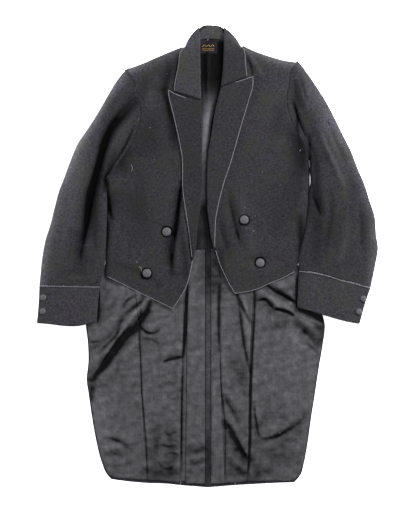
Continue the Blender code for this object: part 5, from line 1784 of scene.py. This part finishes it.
@dataclass
class Sleeves:
    """The sleeves, each a flattened tube of a top and an under sleeve with a cuff right round its end."""

    cloths: Cloths
    thickness: float = 2.0
    cuff_thickness: float = 2.4
    gap: float = 0.3
    clear: float = 0.4
    least: float = 3.2
    head: float = 55.0
    level_free: float = 0.15
    cuff_step: float = 0.8
    underarm: int = 4
    top_roundness: float = 2.3
    under_roundness: float = 3.5
    rows: int = 190
    columns: int = 72
    cuff_rows: int = 44
    # depth of the painted highlight along each sleeve's outer rim, and how much paler the cuffs are drawn
    rim_painted_highlight: float = 4.0
    cuff_paler: float = 1.2
    tape: float = 6.0
    tape_drop: float = 2.7
    cord_radius: float = 0.8
    # how far along the sleeve, height of its side seams, rise of the top sheet above them
    sections: tuple = ((0.0, 4.5, 6.0), (0.12, 5.5, 12.0), (0.3, 6.5, 18.0), (0.55, 7.0, 19.0),
                       (0.8, 7.0, 16.0), (1.0, 7.5, 13.0))

    @staticmethod
    def patch(start: Array, end: Array, first: Array, last: Array, rows: Array, columns: Array) -> Array:
        """Fill a plan between four edges that meet at their ends.

        Args:
            start: the edge at the grid's first row.
            end: the edge at its last row.
            first: the edge at its first column.
            last: the edge at its last column.
            rows: the shares of the way down.
            columns: the shares of the way across.

        Returns:
            The grid of points.
        """
        down, across = rows[:, None, None], columns[None, :, None]
        start, end = curve(start, shares=columns)[None], curve(end, shares=columns)[None]
        first, last = curve(first, shares=rows)[:, None], curve(last, shares=rows)[:, None]
        corners = (1 - down) * ((1 - across) * start[:, :1] + across * start[:, -1:])
        corners = corners + down * ((1 - across) * end[:, :1] + across * end[:, -1:])
        return (1 - down) * start + down * end + (1 - across) * first + across * last - corners

    def tube(self, plan: Array, columns: Array, centre: Array, rise: Array,
             armhole: Array | None = None) -> tuple[Array, Array, Array]:
        """Give the heights of a flattened tube's outer faces.

        Args:
            plan: the grid of points.
            columns: each column's share of the way across.
            centre: the height of the side seams at each row.
            rise: how far the top sheet rises above them.
            armhole: the seam where the upper face has the height of the front.

        Returns:
            The upper heights, the lower ones, and how free of the armhole each point is.
        """
        shape, flat = plan.shape[:2], plan.reshape(-1, 2)
        ground = GROUND.height(flat).reshape(shape)
        middle = np.maximum(centre[:, None], ground + self.least)
        top = (1 - abs(2 * columns - 1) ** self.top_roundness) ** (1 / self.top_roundness)
        under = (1 - abs(2 * columns - 1) ** self.under_roundness) ** (1 / self.under_roundness)
        waves = ripples(flat, 55.0, 0.7, 31, 1.8)
        raised = relief(flat, SLEEVE_FOLDS, 2.2) + waves + ripples(flat, 20.0, 0.18, 32)
        raised = raised.reshape(shape) * np.clip(top * 2 - 0.7, 0, 1)[None]
        upper = middle + rise[:, None] * top[None]
        lower = middle - (middle - ground) * under[None]
        free = np.ones(shape)
        if armhole is not None:
            far, along = nearest(flat, armhole)
            free = eased(abs(far) / self.head).reshape(shape)
            seam = np.maximum(FRONT.height(resampled(armhole, along)).reshape(shape), middle)
            underarm = 0.85 * eased((along.reshape(shape) - 0.7) / 0.3)
            underarm = underarm * eased(abs(far).reshape(shape) / 8.0)
            seam += (upper - seam) * underarm
            upper = upper * free + seam * (1 - free)
            lower = lower * free
            raised *= eased(abs(far) / 16.0).reshape(shape)
        return np.maximum(upper + raised, middle + np.minimum(0.6 * top[None], upper - middle)), lower, free

    def build(self, side: Side) -> None:
        """Make one sleeve and its cuff.

        Args:
            side: the wearer's side.
        """
        rows = np.linspace(0, 1, self.rows)
        columns = (1 - np.cos(np.pi * np.linspace(0, 1, self.columns))) / 2
        armhole = shifted(ARMHOLE[side], self.clear * side.sign)
        outer = np.concatenate([armhole[:1], SLEEVE_OUTER[side][1:]])
        inner = np.concatenate([armhole[self.underarm : -1], SLEEVE_INNER[side]])
        plan = self.patch(armhole[: self.underarm + 1], CUFF_LINE[side], outer, inner, rows, columns)
        at, centre, rise = np.array(self.sections).T
        upper, lower, free = self.tube(plan, columns, np.interp(rows, at, centre),
                                       np.interp(rows, at, rise), curve(ARMHOLE[side], 6.0))
        level = np.zeros(free.shape, bool)
        level[:, [0, -1]] = free[:, [0, -1]] > self.level_free
        rim = np.linalg.norm(plan - plan[:, :1], axis=2)
        flat = plan.reshape(-1, 2)
        # painted shade in the sleeve's folds and patches, and painted highlight along its outer rim
        depth = relief(flat, SLEEVE_FOLDS, 0.5, 1.15).reshape(rim.shape)
        tone_and_painted_shading = self.rim_painted_highlight * np.exp(-((rim / 14.0) ** 2))
        depth += relief(flat, SLEEVE_PAINTED_SHADING).reshape(rim.shape) + tone_and_painted_shading
        half = self.gap / 2
        for part, height, lift in (("topsleeve", upper, half), ("undersleeve", lower, -half)):
            grid, cut, painted_shading = np.dstack([plan, np.where(level, height + lift, height)]), level, depth
            if (side is Side.RIGHT) == (lift < 0):
                grid, cut, painted_shading = grid[:, ::-1], level[:, ::-1], depth[:, ::-1]
            obj = strip(f"{part}_{side.value}_cloth", grid, self.thickness, level=cut, depth=painted_shading)
            hand_over(obj, self.cloths.wool, Slot.WOOL, f"{part}_{side.value}")
        self.build_cuff(side, columns)
        self.build_tape(side)

    def build_tape(self, side: Side) -> None:
        """Make the tape inside the armhole seam.

        Args:
            side: the wearer's side.
        """
        seam = curve(ARMHOLE[side], shares=np.linspace(0, 1, 90))
        edges = [shifted(seam, across) for across in np.linspace(-self.tape, self.tape, 7) * side.sign]
        height = np.maximum(FRONT.height(seam) - self.tape_drop, 0.9)
        grid = np.dstack([np.stack(edges, axis=1), np.repeat(height[:, None], 7, axis=1)])
        hand_over(strip(f"armhole_tape_{side.value}", grid, 0.8), self.cloths.body, Slot.BODY)

    def build_cuff(self, side: Side, columns: Array) -> None:
        """Make one cuff, with the cord along its upper edge.

        Args:
            side: the sleeve's side.
            columns: each column's share of the way across the tube.
        """
        rows = np.linspace(0, 1, self.cuff_rows)
        down = np.array([0.0, -self.gap])
        plan = self.patch(CUFF_LINE[side] + down, MOUTH[side], CUFF_OUTER[side] + down,
                          CUFF_INNER[side] + down, rows, columns)
        _, centre, rise = self.sections[-1]
        centre = np.full(self.cuff_rows, centre)
        upper, lower, _ = self.tube(plan, columns, centre, rise + self.cuff_step - rows)
        top, under = np.dstack([plan, upper]), np.dstack([plan, lower])
        grid = np.concatenate([top, under[:, -2:0:-1]], axis=1)
        if side is Side.LEFT:
            grid = grid[:, ::-1]
        obj = strip(f"cuff_{side.value}_cloth", grid, self.cuff_thickness, closed=True,
                    depth=np.full(grid.shape[:2], self.cuff_paler))
        hand_over(obj, self.cloths.wool, Slot.WOOL, f"cuff_{side.value}")
        edging = cord(f"cuff_cord_{side.value}", [top[1, 1:-1] + (0, 0, 0.9)], self.cord_radius)
        hand_over(edging, self.cloths.edging, Slot.BUTTON)


@dataclass
class Buttons:
    """Domed buttons wound with grey thread: a low boss with spiral ribs, and a rolled edge."""

    cloths: Cloths
    dome: float = 0.42
    front_radius: float = 10.0
    cuff_radius: float = 7.0
    ribs: int = 9
    rib_height: float = 0.32
    rings: int = 20
    around: int = 72
    profile: tuple = ((0.80, 0.0), (0.93, 0.03), (1.0, 0.10), (1.0, 0.2), (0.94, 0.27), (0.86, 0.30))

    def build(self, node: str, radius: float) -> None:
        """Make one button in the place of its solid.

        Args:
            node: the solid.
            radius: the button's radius, in mm.
        """
        low, high = (np.array(corner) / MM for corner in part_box(node))
        x, y, base = (low[0] + high[0]) / 2, (low[1] + high[1]) / 2, low[2]
        angles = 2 * np.pi * np.arange(self.around) / self.around
        rings = [(out, up + 0 * angles) for out, up in self.profile]
        start, level = self.profile[-1]
        for out in np.linspace(start, 0.04, self.rings):
            crown = level + (self.dome - level) * (1 - (out / start) ** 2)
            ribs = np.sin(self.ribs * angles + 5.0 * out) ** 2
            ribs *= math.sin(math.pi * min(1, (start - out) * 6 + 0.1) / 2)
            fade = min(1.0, out / 0.3)
            rings.append((out, crown + self.rib_height / radius * ribs * fade))
        points = [np.column_stack([x + out * radius * np.cos(angles), y + out * radius * np.sin(angles),
                                   base + up * radius]) for out, up in rings]
        count = self.around
        points += [np.array([[x, y, base], [x, y, base + self.dome * radius]])]
        top = len(rings) * count
        faces = grid_triangles(len(rings), count, closed=True)[:, ::-1].tolist()
        for k in range(count):
            following = (k + 1) % count
            faces += [(top, following, k), (top + 1, top - count + k, top - count + following)]
        obj = linked(f"{node}_wound", np.concatenate(points), faces)
        hand_over(obj, self.cloths.button, Slot.BUTTON, node)

    def build_all(self) -> None:
        """Make the front and the cuff buttons."""
        for side in Side:
            for row in (1, 2):
                self.build(f"front_button_{side.value}{row}", self.front_radius)
                self.build(f"cuff_button_{side.value}{row}", self.cuff_radius)


@dataclass
class NeckLabel:
    """A plain black satin label sewn inside the neck, with a wave and two bars in gilt thread."""

    cloths: Cloths
    centre: tuple[float, float] = (2.0, 485.0)
    size: tuple[float, float] = (42.0, 28.0)
    base: float = 3.2
    thickness: float = 1.0
    thread: float = 0.55

    def build(self) -> None:
        """Make the label and its threads."""
        (x, y), (width, height) = self.centre, self.size
        left, right, low, high = x - width / 2, x + width / 2, y - height / 2, y + height / 2
        ring = outline([(left, low), (right, low)], [(right, low), (right, high)],
                       [(right, high), (left, high)], [(left, high), (left, low)], spacing=3.0)
        top = self.base + self.thickness
        obj = panel("neck_label_cloth", ring, lambda p: np.full(len(p), top), self.thickness, 3.0, (0.8,))
        hand_over(obj, self.cloths.label, Slot.LABEL, "neck_label")
        along = np.linspace(left + 7.0, right - 7.0, 60)
        wave = np.column_stack([along, y + 4.0 + 2.2 * np.sin((along - left) * 0.65)])
        bars = [np.array([(left + 7.0, y + drop), (right - 7.0, y + drop)]) for drop in (-3.0, -6.5)]
        lines = [np.column_stack([line, np.full(len(line), top + 0.2)]) for line in (wave, *bars)]
        hand_over(cord("neck_label_threads", lines, self.thread, 1.6), self.cloths.gold, Slot.LABEL)


@dataclass
class Wear:
    """Pale fibres that have settled on the cloth: x, y in mm, length, and angle in degrees."""

    cloths: Cloths
    radius: float = 0.32
    on_fronts: tuple = (
        (-159, 317, 4, 60), (-133, 298, 4, 20), (-174, 205, 15, 95), (216, 245, 6, 50),
        (-154, -28, 14, 125), (-163, -14, 5, 110), (111, 93, 3, 0), (107, 58, 4, 30), (87, 112, 2.5, 10),
        (-43, 350, 2, 45), (-94, 424, 2, 0), (-122, 224, 2.5, 80), (-208, 56, 2, 15), (41, 154, 2, 60),
        (170, 165, 2, 30), (128, 196, 2, 100), (-133, 107, 2, 140), (18, 270, 1.6, 0))
    on_tails: tuple = (
        (-152, -420, 3, 30), (169, -412, 3, 10), (3, -301, 2.5, 0), (135, -224, 2, 60),
        (-203, -317, 2, 100))

    def build(self) -> None:
        """Scatter the fibres."""
        paths = []
        for rows, form in ((self.on_fronts, FRONT), (self.on_tails, TAIL)):
            for x, y, length, angle in rows:
                along = np.linspace(-length / 2, length / 2, 7)
                turn = math.radians(angle) + 0.05 * along
                plan = np.column_stack([x + along * np.cos(turn), y + along * np.sin(turn)])
                paths.append(np.column_stack([plan, form.height(plan) + self.radius]))
        hand_over(cord("lint_fibres", paths, self.radius, 2.0, 5), self.cloths.lint, Slot.BUTTON)


@dataclass
class Studio:
    """A pale floor, soft light from the upper right and a camera that looks straight down."""

    lens: float = 100.0
    sensor: float = 36.0
    photo: tuple[int, int] = (410, 513)
    pixel: float = 2.33
    aim: tuple[float, float] = (-5.2, -1.2)
    paper: str = "#f4f4f4"
    glow: float = 0.75
    # name, place and side in m, power in W
    lights: tuple = (("key_softbox", (1.7, 1.9, 1.65), 0.9, 196.0),
                     ("sheen_softbox", (0.8, 0.2, 2.6), 1.0, 36.0),
                     ("left_softbox", (-2.4, 0.2, 0.8), 0.9, 85.0),
                     ("right_softbox", (2.4, -0.2, 0.6), 0.9, 45.0))
    world: float = 0.07
    floor_half: float = 4.0

    def area(self, name: str, place: tuple[float, float, float], size: float, power: float) -> None:
        """Hang a soft square light that points at the coat.

        Args:
            name: its name.
            place: where it hangs, in m.
            size: its side, in m.
            power: its power, in W.
        """
        data = bpy.data.lights.new(name, "AREA")
        data.shape, data.size, data.energy = "SQUARE", size, power
        lamp = bpy.data.objects.new(name, data)
        lamp.location = place
        lamp.rotation_euler = (-Vector(place)).to_track_quat("-Z", "Y").to_euler()
        bpy.context.scene.collection.objects.link(lamp)

    def build(self) -> None:
        """Set up floor, lights, world and camera."""
        scene = bpy.context.scene
        half = self.floor_half
        corners = [(-half, -half, 0), (half, -half, 0), (half, half, 0), (-half, half, 0)]
        mesh = bpy.data.meshes.new("paper_floor")
        mesh.from_pydata(corners, [], [(0, 1, 2, 3)])
        floor = bpy.data.objects.new("paper_floor", mesh)
        floor.location.z = -0.0005
        material = bpy.data.materials.new("matt_paper")
        material.use_nodes = True
        shader = material.node_tree.nodes["Principled BSDF"]
        shader.inputs["Base Color"].default_value = linear(self.paper)
        shader.inputs["Roughness"].default_value = 1.0
        shader.inputs["Specular IOR Level"].default_value = 0.0
        shader.inputs["Emission Color"].default_value = (1, 1, 1, 1)
        shader.inputs["Emission Strength"].default_value = self.glow
        mesh.materials.append(material)
        scene.collection.objects.link(floor)
        floor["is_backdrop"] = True
        for light in self.lights:
            self.area(*light)
        world = bpy.data.worlds.new("studio")
        world.use_nodes = True
        world.node_tree.nodes["Background"].inputs["Color"].default_value = (1, 1, 1, 1)
        world.node_tree.nodes["Background"].inputs["Strength"].default_value = self.world
        scene.world = world
        scene.view_settings.view_transform = "Standard"
        data = bpy.data.cameras.new("overhead")
        data.lens, data.sensor_width, data.clip_end = self.lens, self.sensor, 20.0
        camera = bpy.data.objects.new("overhead", data)
        distance = self.photo[1] * self.pixel * MM * self.lens / self.sensor
        camera.location = (self.aim[0] * MM, self.aim[1] * MM, distance)
        scene.collection.objects.link(camera)
        scene.camera = camera


def main() -> None:
    """Load the frame and build the coat on it, piece by piece."""
    logging.basicConfig(level=logging.INFO, format="%(message)s")
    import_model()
    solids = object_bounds()
    Studio().build()
    cloths = Cloths()
    back = WoolBack(cloths)
    for side in Side:
        back.build(side)
    BodyLining(cloths).build()
    TailLinings(cloths).build()
    NeckLabel(cloths).build()
    collar, fronts, lapels, sleeves = Collar(cloths), Fronts(cloths), Lapels(cloths), Sleeves(cloths)
    collar.build_stand()
    for side in Side:
        fronts.build(side)
        lapels.build(side)
        collar.build(side)
        sleeves.build(side)
    Buttons(cloths).build_all()
    Wear(cloths).build()
    boxes = {"cad": solids, "visual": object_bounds()}
    for name, box in boxes.items():
        log.info("%s box: %s", name, [[round(float(value), 4) for value in corner] for corner in box])


if __name__ == "__main__":
    main()
